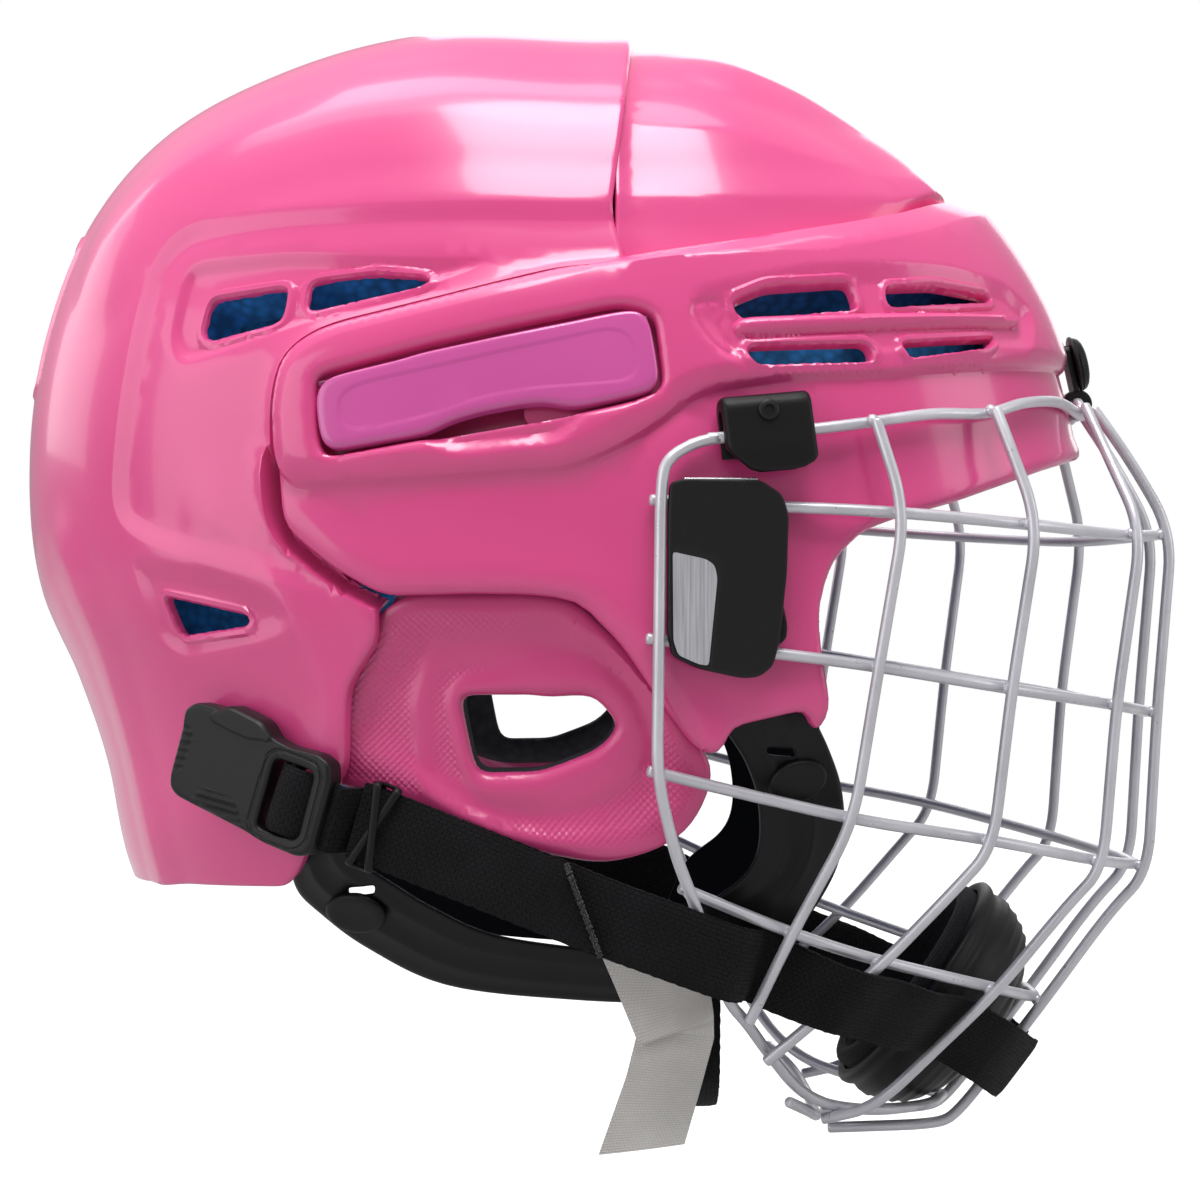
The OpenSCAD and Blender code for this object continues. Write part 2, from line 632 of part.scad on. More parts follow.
// The front loop hangs from under the cheek. The rear loop hangs from under the rear shell
// and laps the outside of the front loop's end.
front_top = brim_rise - wall - 2 * gap;
front_from = 8;
rear_from = -16;
rear_top = lip_rise - wall - gap;
lap_z = -48;
rear_lean = (rear_top - front_top + loop_lean * (front_from - lap_z) - loop_t - gap)
    / (rear_from - lap_z);
module front_loop() color(black_colour)
    strip(eased(loop_front), front_top - loop_t, front_top, 2, loop_lean, front_from);

module rear_loop() color(black_colour)
    strip(eased(loop_rear), rear_top - loop_t, rear_top, 2, rear_lean, rear_from);

// Way that the dome faces at a point, for a layer that leans in below a height.
function leaning(p, rise, lean, top) = on_dome(p, rise - lean * max(0, top - p[1]));
function facing(p, rise, lean, top) = let (
        a = leaning(p + [4, 0], rise, lean, top) - leaning(p - [4, 0], rise, lean, top),
        b = leaning(p + [0, 4], rise, lean, top) - leaning(p - [0, 4], rise, lean, top),
        n = unit(cross(a, b)))
    n.x < 0 ? n : -n;
module stand_on(p, rise, lean, top, lift) {
    n = facing(p, rise, lean, top);
    translate(leaning(p, rise, lean, top) + n * lift)
        rotate([0, acos(n.z), atan2(n.y, n.x)])
            children();
}

// Oval push-in button on an ear loop.
module loop_button(p, rise, lean, top, long, high) {
    stand_on(p, rise, lean, top, 0.4)
        linear_extrude(1.8, scale = 0.8)
            resize([high, long])
                circle(d = long, $fn = 24);
}
module front_loop_buttons() color(black_colour)
    for (s = [0, 1])
        mirror([s, 0, 0])
            loop_button([-51, -5], front_top, loop_lean, front_from, 12, 9);
module rear_loop_buttons() color(black_colour)
    for (s = [0, 1])
        mirror([s, 0, 0])
            loop_button([41.3, -33], rear_top, rear_lean, rear_from, 13, 10);

// Chin strap, hanging in a bow between the two ear loops.
loop_x = half_width(-31, lap_z, front_top - loop_t - loop_lean * (front_from - lap_z));
chin_y = -28.5;
chin_route = both_sides(smooth([[-loop_x + 2, chin_y, -43], [-loop_x + 5, chin_y, -60],
    [-loop_x + 10, chin_y, -72], [-30, chin_y, -80], [0, chin_y, -82]], 2));
module chin_strap() color(black_colour)
    ribbon(chin_route, [for (p = chin_route) p - [0, chin_y, -30]], chin_strap_w, 1.6);

// Folded care label sewn to the right ear loop.
function label_point(y, z, out) = let (h = max(z, -50))
    [-half_width(y, h, rear_top - rear_lean * (rear_from - h)) - gap - 0.5 - out, y, z];
module care_label() color("whitesmoke")
    loft([for (s = [[[-32, -46.5], [-9, -44.5], 0], [[-32, -54], [-12, -60], -0.6],
            [[-31, -58], [-16, -62], 0], [[-27, -72], [-9, -76], 0.8],
            [[-27.5, -85], [-9.6, -87], 1.6]])
        [for (k = [[0, 0], [1, 0], [1, 1], [0, 1]])
            label_point(s[k[0]][0], s[k[0]][1], s[2] + k[1] * 0.5)]]);

// Wires of the cage.
function axis_of(p) = [0, -30, p.z];
function inward(p, a, b) = let (n = unit(cross(a, b))) (axis_of(p) - p) * n > 0 ? n : -n;
weld = wire_d + weld_gap;

// Point on bar j's centre line where it crosses column i: 0 is the rim's side, 1 to 4 the uprights.
rim_line = concat([rim_top[0]], rim_side, [jaw[0]]);
function column(i) = i == 0 ? rim_line : upright[i - 1];
function place(i, j) = i == 0 ? rim_crossing[j] + 1 : crossing[i - 1][j];
rim_bend = 7;
function cut_corner(p, i, r) = (p[i] * 2 + unit(p[i - 1] - p[i]) * min(r, norm(p[i - 1] - p[i]) * 0.45)
    + unit(p[i + 1] - p[i]) * min(r, norm(p[i + 1] - p[i]) * 0.45)) / 2;
function joint_point(i, j) = i == 0 ? cut_corner(column(0), place(0, j), rim_bend)
    : knee(column(i), place(i, j), bend);
function bar_point(i, j) = let (
        p = joint_point(i, j),
        c = column(i),
        k = place(i, j),
        next = i < 4 ? joint_point(i + 1, j) : flip(p),
        prev = i > 0 ? joint_point(i - 1, j) : p)
    p + inward(p, next - prev, c[k + 1] - c[k - 1]) * weld;
function off_cheek(j) = let (z = bar_point(0, j).z * 0.5 + bar_point(1, j).z * 0.5)
    on_dome([-46, z], brim_rise + gap + wire_d / 2 + 0.3);
function bar_line(j) = let (
        p = [for (i = [0:4]) bar_point(i, j)],
        end = p[0] + unit(p[0] - (j < 2 ? off_cheek(j) : p[1])) * 2.2)
    both_sides(concat([end], smooth(concat([p[0]], j < 2 ? [off_cheek(j)] : [],
        [for (i = [1:4]) p[i]], [[0, p[4].y - 0.6, p[4].z]]), 2)));
module cage_bar(j) color(steel_colour)
    tube(bar_line(j), wire_d);

// Rim: under the tops of the uprights, round the ears, along the jaw and under the chin.
function rim_under(i) = let (p = upright[i])
    p[0] + inward(p[0], i < 3 ? upright[i + 1][0] - rim_top[2] : [1, 0, 0], p[1] - p[0])
        * (weld + 0.15);
rim_front = [hinge, hinge + [-5.5, 0.1, -0.05], rim_under(3), rim_under(2), [-42.8, -110.6, 76],
    [-57.6, -101.6, 75], rim_under(1), [-76.6, -79.6, 71.6], rim_under(0)];
rim_half = concat(smooth(concat(rim_front, reversed(rim_top)), 1),
    [for (i = [1:len(bent(concat([rim_top[0]], rim_side, jaw), rim_bend, 1)) - 1])
        bent(concat([rim_top[0]], rim_side, jaw), rim_bend, 1)[i]]);
module cage_rim() color(steel_colour)
    tube(concat(rim_half, [for (i = [len(rim_half) - 2:-1:1]) flip(rim_half[i])]), wire_d,
        closed = true);

module upright_wire(i) color(steel_colour)
    tube(bent(upright[i - 1], bend), wire_d);

module chin_bar() color(steel_colour)
    tube(both_sides(smooth(chin_run, 2)), wire_d);

// Side clip: a hook that is open below, round the wire and screwed to the shell.
clip_at = [-89.5, -44.5, 66.75];
clip_turn = [-5.5, 8.8, 10.5];
clip_inner = 1.5;
clip_slot = wire_d / 2 + gap + 0.15;
module side_clip() color(black_colour)
    translate(clip_at)
        difference() {
            rotate(clip_turn)
                hull()
                    for (y = [-clip_len / 2 + 2, clip_len / 2 - 2])
                        for (z = [-6.3, 6.3])
                            translate([-clip_slot - clip_t, y, z])
                                rotate([0, 90, 0])
                                    cylinder(r = 2, h = 2 * clip_slot + clip_t + clip_inner, $fn = 24);
            rotate([clip_turn.x, 0, clip_turn.z])
                hull()
                    for (q = [[0, 0], [0.4, -20]])
                        translate([q[0], 0, q[1]])
                            rotate([90, 0, 0])
                                cylinder(r = clip_slot + q[0] / 2, h = big / 8, center = true, $fn = 24);
        }
module clip_screws() color(steel_colour)
    for (s = [0, 1])
        mirror([s, 0, 0])
            translate(clip_at)
                rotate(clip_turn)
                    translate([-clip_slot - clip_t, 0, 4.4])
                        rotate([0, -90, 0])
                            cylinder(d = 4.5, h = 0.8, $fn = 24);

// Clip on the brow that the top of the rim turns in.
brow_face = [0, -118.9, 83.5];
brow_lean = -12.4;
module forehead_clip() color(black_colour) difference() {
    union() {
        translate(hinge)
            rotate([0, 90, 0])
                cylinder(r = clip_slot + 1.7, h = 8, center = true, $fn = 32);
        translate(brow_face)
            rotate([brow_lean, 0, 0])
                translate([-4, -1.6, -5])
                    cube([8, 1.6, 13]);
    }
    translate(hinge)
        rotate([0, 90, 0])
            cylinder(r = clip_slot, h = 20, center = true, $fn = 32);
}
module forehead_bumper() color(black_colour)
    translate(brow_face)
        rotate([brow_lean, 0, 0])
            translate([0, -1.6, 3.2])
                rotate([90, 0, 0])
                    rotate_extrude($fn = 32)
                        polygon(concat([[0, 0]], [for (a = [0:15:90])
                            [bumper_d / 2 * cos(a), 0.8 + 2.2 * sin(a)]]));

// Plate over the rear ends of the two upper bars.
module side_plate() color(black_colour)
    translate([-94.4, -24, 0])
        rotate([0, 0, 5.9])
            rotate([90, 0, -90])
                linear_extrude(plate_t)
                    offset(r = 3)
                        offset(delta = -3)
                            polygon([[0.5, 56.8], [20, 56.8], [25, 50], [24.5, 38], [23.5, 22],
                                [20.5, 16.5], [15, 16.4], [6, 18.5], [0.5, 22]]);

// Chin cup: a bowl that opens back and up.
cup_axis = [0, -0.8, -0.6];
cup_up = [0, -0.6, 0.8];
cup_centre = [0, -77.5, -52];
cup_h = 28.5;
cup_deep = 27.5;
function cup_point(f, a, d) = let (
        e = 2 / 3,
        w = (cup_w - d) * sin(f) ^ e)
    cup_centre + cup_axis * ((cup_deep - d) * cos(f) ^ e) + [w * cos(a), 0, 0]
    + cup_up * ((cup_h - d) * sin(f) ^ e * sin(a));
module bowl(d0, d1, f1) {
    n = 20;
    fs = [for (f = [0.5:(f1 - 0.5) / 5:f1 + 0.01]) f];
    m = len(fs);
    outer = [for (f = fs) for (k = [0:n - 1]) cup_point(f, k * 360 / n, d0)];
    inner = [for (f = fs) for (k = [0:n - 1]) cup_point(f, k * 360 / n, d1)];
    o = m * n;
    walls = [for (i = [0:m - 2]) for (k = [0:n - 1]) let (
            a = i * n + k,
            b = i * n + (k + 1) % n)
        each [[a, b, b + n], [a, b + n, a + n], [o + a, o + b + n, o + b], [o + a, o + a + n, o + b + n]]];
    lip = [for (k = [0:n - 1]) let (
            a = (m - 1) * n + k,
            b = (m - 1) * n + (k + 1) % n)
        each [[a, b, o + b], [a, o + b, o + a]]];
    ends = [for (k = [1:n - 2]) each [[0, k + 1, k], [o, o + k, o + k + 1]]];
    mesh(concat(outer, inner), concat(walls, lip, ends));
}
module chin_cup() color(black_colour)
    bowl(0, cup_t, 84);
module chin_cup_pad() color(black_colour)
    bowl(cup_t + gap, cup_t + gap + cup_pad_t, 88);

// Webbing from the buckle, past the side of the cage, to the chin cup.
module cage_strap() color(black_colour)
    ribbon([for (q = smooth(strap_run, 2)) [q[0], q[1], q[2]]],
        [for (q = smooth(strap_run, 2)) [q[3], q[4], q[5]]], strap_w, strap_t);

// Buckle that hooks on the rear shell, and the post that it hooks on.
buckle_at = [-87.2, 56.5, -5];
module strap_buckle() color(black_colour)
    translate(buckle_at)
        rotate([0, 0, -24])
            rotate([20, 0, 0])
                difference() {
                    hull()
                        for (q = [[-17, -9], [-15, 11], [15, 10], [17, -8]])
                            translate([-buckle_t / 2, q[0], q[1]])
                                rotate([0, 90, 0])
                                    cylinder(r = 3, h = buckle_t, $fn = 24);
                    for (y = [-14.5, -8.5])
                        translate([-big / 2, y, -9.5])
                            cube([big, 3, 19]);
                }
module strap_posts() color(steel_colour)
    for (s = [0, 1])
        mirror([s, 0, 0])
            stand_on([68, 0], lip_rise, 0, 0, 0.2)
                cylinder(d = 7, h = 2, $fn = 32);

// Elastic loop that keeps the end of the webbing.
module strap_keeper() color(black_colour)
    translate([-87.3, 36.6, -14.4])
        rotate([0, 0, -3.4])
            rotate([20.4, 0, 0])
                difference() {
                    cube([strap_t + 2.4, 6, strap_w + 2.4], center = true);
                    cube([strap_t + 0.6, 10, strap_w + 0.6], center = true);
                }

module left() mirror([1, 0, 0]) children();

front_shell();
rear_shell();
front_liner();
rear_liner();
brow_pad();
crown_pad();
occipital_pad();
temple_pad();  // temple_pad_right
left() temple_pad();  // temple_pad_left
ear_guard();  // ear_guard_right
left() ear_guard();  // ear_guard_left
size_lever();  // size_lever_right
left() size_lever();  // size_lever_left
lever_pins();
front_loop();  // front_loop_right
left() front_loop();  // front_loop_left
rear_loop();  // rear_loop_right
left() rear_loop();  // rear_loop_left
front_loop_buttons();
rear_loop_buttons();
chin_strap();
care_label();
side_clip();  // side_clip_right
left() side_clip();  // side_clip_left
clip_screws();
forehead_clip();
forehead_bumper();
cage_rim();
cage_bar(0);  // cage_bar_1
cage_bar(1);  // cage_bar_2
cage_bar(2);  // cage_bar_3
cage_bar(3);  // cage_bar_4
chin_bar();
upright_wire(1);  // upright_1_right
upright_wire(2);  // upright_2_right
upright_wire(3);  // upright_3_right
upright_wire(4);  // upright_4_right
left() upright_wire(1);  // upright_1_left
left() upright_wire(2);  // upright_2_left
left() upright_wire(3);  // upright_3_left
left() upright_wire(4);  // upright_4_left
side_plate();  // side_plate_right
left() side_plate();  // side_plate_left
chin_cup();
chin_cup_pad();
cage_strap();  // cage_strap_right
left() cage_strap();  // cage_strap_left
strap_buckle();  // strap_buckle_right
left() strap_buckle();  // strap_buckle_left
strap_keeper();  // strap_keeper_right
left() strap_keeper();  // strap_keeper_left
strap_posts();
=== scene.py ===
import math
import bmesh
import bpy
import numpy as np
from mathutils import Matrix, Vector
from mathutils.geometry import delaunay_2d_cdt


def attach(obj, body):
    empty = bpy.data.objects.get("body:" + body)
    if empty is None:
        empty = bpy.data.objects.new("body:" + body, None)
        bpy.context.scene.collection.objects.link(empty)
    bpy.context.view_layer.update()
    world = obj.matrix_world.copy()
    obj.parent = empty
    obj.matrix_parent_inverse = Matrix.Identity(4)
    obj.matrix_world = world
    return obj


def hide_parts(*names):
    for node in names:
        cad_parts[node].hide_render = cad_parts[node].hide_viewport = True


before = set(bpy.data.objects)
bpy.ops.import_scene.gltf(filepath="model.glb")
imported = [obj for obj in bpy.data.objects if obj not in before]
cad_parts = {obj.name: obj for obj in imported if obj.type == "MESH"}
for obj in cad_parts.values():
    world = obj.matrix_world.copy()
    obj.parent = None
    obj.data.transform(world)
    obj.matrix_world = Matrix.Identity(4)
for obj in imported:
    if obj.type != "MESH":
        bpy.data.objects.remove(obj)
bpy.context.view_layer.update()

MM = 0.001
PI = math.pi
scene = bpy.context.scene
scene.view_settings.view_transform = "Standard"

# Camera: level, on the wearer's right, where the photograph was taken from
cam = bpy.data.objects.new("camera", bpy.data.cameras.new("camera"))
scene.collection.objects.link(cam)
scene.camera = cam
cam.location = (-0.81, -0.01, 0.0325)
cam.rotation_euler = (PI / 2, 0, -PI / 2)
cam.data.lens, cam.data.sensor_width = 104.6, 36
cam.data.clip_start, cam.data.clip_end = 0.01, 20


# Colours and materials
def lin(*c):
    """Screen colour, from 0 to 255, as a linear one."""
    return (*[(v / 255 / 12.92) if v / 255 <= 0.04045 else ((v / 255 + 0.055) / 1.055) ** 2.4 for v in c], 1)


class Nodes:
    """The tree of a new material, or of the world, with short calls to add and link nodes."""

    def __init__(self, name, owner=None):
        self.mat = owner or bpy.data.materials.new(name)
        self.mat.use_nodes = True
        self.tree = self.mat.node_tree
        self.shader = self.tree.nodes["Background" if owner else "Principled BSDF"]

    def add(self, kind, **sets):
        n = self.tree.nodes.new("ShaderNode" + kind)
        for k, v in sets.items():
            if k.startswith("in_"):
                n.inputs[k[3:].replace("_", " ")].default_value = v
            else:
                setattr(n, k, v)
        return n

    def link(self, a, b):
        self.tree.links.new(a, b)

    def set(self, **v):
        for k, x in v.items():
            self.shader.inputs[k.replace("_", " ")].default_value = x

    def drive(self, **v):
        for k, x in v.items():
            self.link(x, self.shader.inputs[k.replace("_", " ")])

    def coords(self, which="Object", scale=(1, 1, 1)):
        c = self.add("TexCoord")
        m = self.add("Mapping", in_Scale=scale)
        self.link(c.outputs[which], m.inputs["Vector"])
        return m.outputs["Vector"]

    def noise(self, vec, scale, detail, rough=0.5):
        n = self.add("TexNoise", in_Scale=scale, in_Detail=detail, in_Roughness=rough)
        self.link(vec, n.inputs["Vector"])
        return n.outputs["Fac"]

    def spread(self, fac, lo, hi, a=0.3, b=0.7, kind="LINEAR"):
        m = self.add("MapRange", interpolation_type=kind, in_From_Min=a, in_From_Max=b, in_To_Min=lo, in_To_Max=hi)
        self.link(fac, m.inputs["Value"])
        return m.outputs["Result"]

    def mix(self, fac, a, b):
        m = self.add("Mix", data_type="RGBA", in_A=a, in_B=b)
        self.link(fac, m.inputs["Factor"])
        return m.outputs["Result"]

    def bump(self, height, strength, distance, normal=None):
        b = self.add("Bump", in_Strength=strength, in_Distance=distance)
        self.link(height, b.inputs["Height"])
        if normal is not None:
            self.link(normal, b.inputs["Normal"])
        return b.outputs["Normal"]

    def math(self, op, a, b):
        m = self.add("Math", operation=op)
        for socket, x in zip(m.inputs, (a, b)):
            if hasattr(x, "node"):
                self.link(x, socket)
            else:
                socket.default_value = x
        return m.outputs[0]


def shade(colour, k):
    """A colour k times as bright."""
    return [min(1, c * k) for c in colour[:3]] + [1]


def plastic(name, colour, rough, coat=0.0, vary=0.06, grain=0.0, grain_scale=900, wave=0.0, shine=0.5):
    """Moulded plastic: faint flow marks in colour and gloss, with a fine grain if asked."""
    n = Nodes(name)
    v = n.coords()
    big = n.noise(v, 22, 4)
    fine = n.noise(v, 90, 2)
    n.drive(Base_Color=n.mix(n.spread(big, 0, 1), shade(colour, 1 - vary), shade(colour, 1 + vary)),
            Roughness=n.spread(fine, rough * 0.94, rough * 1.07, 0.1, 0.9))
    n.set(Coat_Weight=coat, Coat_Roughness=0.08, IOR=1.5, Specular_IOR_Level=shine)
    out = n.bump(n.noise(v, 14, 2), 0.25, wave * MM) if wave else None
    if grain:
        out = n.bump(n.noise(v, grain_scale, 2, 0.6), 0.5, grain * MM, out)
    if out is not None:
        n.drive(Normal=out)
    return n.mat


def fabric(name, colour, light, thread, deep, rough, sheen, fuzz=0.12):
    """Woven cloth in the piece's own u and v, in millimetres."""
    n = Nodes(name)
    v = n.coords("UV")
    br = n.add("TexBrick", offset=0.5, in_Scale=1, in_Mortar_Size=0.16, in_Mortar_Smooth=1,
        in_Brick_Width=thread[0], in_Row_Height=thread[1])
    n.link(v, br.inputs["Vector"])
    o = n.coords()
    fine = n.noise(o, 2600, 2, 0.7)
    soft = n.noise(o, 90, 3)
    tone = n.math("ADD", n.math("MULTIPLY", br.outputs["Fac"], -0.55), n.math("MULTIPLY", soft, 0.9))
    h = n.math("ADD", n.math("MULTIPLY", br.outputs["Fac"], -1.0), n.math("MULTIPLY", fine, fuzz * 4))
    n.drive(Base_Color=n.mix(n.spread(tone, 0, 1, -0.2, 0.8), colour, light), Normal=n.bump(h, 0.9, deep * MM))
    n.set(Roughness=rough, Sheen_Weight=sheen, Sheen_Roughness=0.5, Specular_IOR_Level=0.12)
    return n.mat


def foam(name, colour, cell=330, deep=0.5):
    """Beaded foam with its cell pattern."""
    n = Nodes(name)
    v = n.coords()
    vo = n.add("TexVoronoi", feature="F1", in_Scale=cell)
    n.link(v, vo.inputs["Vector"])
    d = vo.outputs["Distance"]
    n.drive(Base_Color=n.mix(n.spread(d, 1, 0, 0.1, 0.8), shade(colour, 0.6), shade(colour, 1.35)),
            Normal=n.bump(d, 0.6, -deep * MM))
    n.set(Roughness=0.9)
    return n.mat


def metal(name, colour, rough, bare=0.75):
    """Enamelled or bare steel with a fine speckle and rubbed tone."""
    n = Nodes(name)
    v = n.coords()
    n.drive(Base_Color=n.mix(n.spread(n.noise(v, 60, 3), 0, 1), shade(colour, 0.88), shade(colour, 1.1)),
            Roughness=n.spread(n.noise(v, 420, 3, 0.6), rough * 0.8, rough * 1.3),
            Normal=n.bump(n.noise(v, 1500, 2, 0.6), 0.3, 0.05 * MM))
    n.set(Metallic=bare, Coat_Weight=0.25, Coat_Roughness=0.25)
    return n.mat


pink = plastic("pink_gloss", lin(224, 76, 140), 0.24, coat=0.45, vary=0.02, wave=0.05)
lever_pink = plastic("lever_gloss", lin(206, 82, 158), 0.2, coat=0.6, vary=0.04, wave=0.04)
black = plastic("black_plastic", lin(17, 16, 18), 0.42, vary=0.12, grain=0.06, grain_scale=1400, shine=0.3)
black_soft = plastic("black_rubber", lin(12, 11, 12), 0.46, vary=0.15, grain=0.08, grain_scale=1100, shine=0.24)
dark_pad = fabric("pad_cloth", lin(22, 22, 24), lin(40, 40, 43), (1.3, 0.9), 0.18, 0.9, 0.1)
webbing = fabric("black_webbing", lin(2, 2, 3), lin(28, 27, 30), (1.5, 0.95), 0.6, 0.75, 0.03)
frayed = fabric("frayed_edge", lin(8, 8, 9), lin(92, 90, 94), (0.7, 0.5), 0.6, 0.8, 0.2, 0.3)
white_tape = fabric("white_tape", lin(208, 204, 201), lin(238, 235, 232), (0.9, 0.55), 0.14, 0.9, 0.2, 0.05)
blue_foam = foam("blue_foam", lin(42, 132, 200), cell=420, deep=0.16)
# dark foam-textured material that is painted shade, for the rings inside the ear openings
painted_shade_foam = foam("painted_shade_foam", lin(40, 38, 42))
wire_paint = metal("wire_paint", lin(206, 205, 212), 0.34, 0.4)
bright_steel = metal("bright_steel", lin(190, 190, 192), 0.28)


def dotted(name, colour):
    """Moulded plastic with rows of fine pressed dots, in the piece's own u and v."""
    n = Nodes(name)
    uv = n.coords("UV")
    m = n.add("TexVoronoi", feature="F1", voronoi_dimensions="2D", in_Scale=0.92, in_Randomness=0)
    rot = n.add("Mapping", in_Rotation=(0, 0, 0.785))  # rows at 45 degrees
    n.link(uv, rot.inputs["Vector"])
    n.link(rot.outputs["Vector"], m.inputs["Vector"])
    at = n.add("Attribute", attribute_name="plain")
    fade = n.math("MULTIPLY", n.math("SUBTRACT", 1.0, at.outputs["Fac"]), m.outputs["Distance"])
    big = n.noise(n.coords(), 22, 3)
    n.drive(Base_Color=n.mix(n.spread(big, 0, 1), shade(colour, 0.96), shade(colour, 1.04)),
            Normal=n.bump(fade, 0.7, -0.4 * MM))
    n.set(Roughness=0.3, Coat_Weight=0.3, Coat_Roughness=0.15)
    return n.mat


pink_dots = dotted("pink_dotted", lin(216, 72, 134))

# The dome that everything follows
# half its width, how full its section is, its middle's height, and its profile, as degrees and millimetres
DOME_W, FULL, CZ = 88.0, 2.5, 25.0
PROFILE = np.array([[-90, 150], [-62, 127], [-42, 112], [-28, 107.5], [-16, 103.5], [-5, 106.5], [5, 115],
    [18, 123.5], [30, 131.5], [42, 138.8], [52, 141.3], [64, 139.5], [78, 137], [92, 133.8],
    [106, 137], [120, 134.3], [133, 132.5], [146, 129], [156, 124.5], [166, 121.5], [182, 120],
    [205, 126], [232, 141], [270, 150]], float)
# its slopes, on a curve that closes on itself
ANGLES, RADII = PROFILE.T
SLOPES = np.empty(len(ANGLES))
SLOPES[1:-1] = (RADII[2:] - RADII[:-2]) / (ANGLES[2:] - ANGLES[:-2])
SLOPES[[0, -1]] = (RADII[1] - RADII[-2]) / (ANGLES[1] + 360 - ANGLES[-2])
# the wall's thickness; how far the rear rim, brow band, brim and hidden wings stand off the dome; a fitting gap
WALL, LIP, BROW, BRIM, WING, GAP = 2.7, 3.0, 6.3, 3.3, 3.0, 0.3
# the foam's thickness at the middle plane and at the sides, its gap to the shell, and how far inside it the pads lie
FOAM, FOAM_SIDE, SEAT, PAD_IN = 13.0, 9.0, 1.2, 2.7
# millimetres in one unit of the chart, and points round its rim, the helmet's middle plane
SPREAD, RIM_POINTS = 150.0, 330
MIRROR = [-1, 1, 1]
# for each side: is it the left, its name, its factors. Pieces are drawn on the right.
SIDES = ((False, "right", [1, 1, 1]), (True, "left", MIRROR))


def radius(deg):
    """The profile's distance from the dome's middle, on a smooth curve through its points."""
    t = (np.asarray(deg, float) + 450) % 360 - 90
    i = np.clip(np.searchsorted(ANGLES, t, side="right") - 1, 0, len(ANGLES) - 2)
    h = ANGLES[i + 1] - ANGLES[i]
    u = (t - ANGLES[i]) / h
    return ((2 * u ** 3 - 3 * u ** 2 + 1) * RADII[i] + (u ** 3 - 2 * u ** 2 + u) * h * SLOPES[i]
            + (3 * u ** 2 - 2 * u ** 3) * RADII[i + 1] + (u ** 3 - u ** 2) * h * SLOPES[i + 1])


def half_width(y, z, rise):
    """Distance from the middle plane to the dome, at a rise over it."""
    q = np.minimum(1, np.hypot(y, z - CZ) / (radius(np.degrees(np.arctan2(z - CZ, y))) + rise))
    return (DOME_W + rise) * (1 - q ** FULL) ** (1 / FULL)


def on_dome(y, z, rise):
    y, z = np.asarray(y, float), np.asarray(z, float)
    return np.stack([-half_width(y, z, rise), y, z], -1)


def polar(r, th):
    return np.stack([r * np.cos(th), r * np.sin(th)], -1)


def chart(p, rise=0.0):
    """Side-view points [y, z] to the flat chart of one half of the dome. Its rim is the middle plane."""
    y, z = p[:, 0], p[:, 1] - CZ
    th = np.arctan2(z, y)
    q = np.hypot(y, z) / (radius(np.degrees(th)) + rise)
    return polar(np.where(q < 1, 1 - np.arccos(np.clip(q, 0, 1) ** (FULL / 2)) * 2 / PI, 1 + (q - 1)), th)


def chart_from(x, z, rise):
    """Chart points of the back, from distances x to the side and heights z."""
    t = np.arcsin(np.clip((np.abs(x) / (DOME_W + rise)) ** (FULL / 2), 0, 1))
    c = np.cos(t) ** (2 / FULL)
    th = np.full_like(z, 0.5)
    for _ in range(40):
        th = np.arcsin(np.clip((z - CZ) / ((radius(np.degrees(th)) + rise) * c), -1, 1))
    return polar(1 - t * 2 / PI, th)


def place(c, rise, side=None):
    """Chart points back to space, at a rise over the dome, or at two: over its profile and over its side."""
    side = rise if side is None else side
    r = np.minimum(np.hypot(c[:, 0], c[:, 1]), 1)
    th = np.arctan2(c[:, 1], c[:, 0])
    t = (1 - r) * PI / 2
    rho = (radius(np.degrees(th)) + rise) * np.cos(t) ** (2 / FULL)
    x = -(DOME_W + side) * np.sin(t) ** (2 / FULL)
    x = np.where(r > 0.99999, 0, x)
    return np.stack([x, rho * np.cos(th), CZ + rho * np.sin(th)], -1)


def resample(p, step, closed):
    """A line with points at even steps."""
    q = np.vstack([p, p[:1]]) if closed else p
    d = np.hypot(*np.diff(q, axis=0).T) if q.shape[1] == 2 else np.linalg.norm(np.diff(q, axis=0), axis=1)
    s = np.concatenate([[0], np.cumsum(d)])
    n = max(int(round(s[-1] / step)), 3)
    at = np.linspace(0, s[-1], n + 1)
    out = np.stack([np.interp(at, s, q[:, k]) for k in range(q.shape[1])], -1)
    return out[:-1] if closed else out


def soften(p, times, closed):
    """A line with its corners rounded, the more often the rounder."""
    for _ in range(times):
        if closed:
            p = p * 0.5 + (np.roll(p, 1, 0) + np.roll(p, -1, 0)) * 0.25
        else:
            q = p.copy()
            q[1:-1] = p[1:-1] * 0.5 + (p[2:] + p[:-2]) * 0.25
            p = q
    return p


def line(pts, rise=0.0, closed=True, round_=2, step=1.3):
    """Outline in the side view, as an evenly sampled, corner-rounded chart line."""
    p = resample(np.array(pts, float), 0.2, closed)
    return soften(resample(chart(p, rise), step / SPREAD, closed), round_, closed)


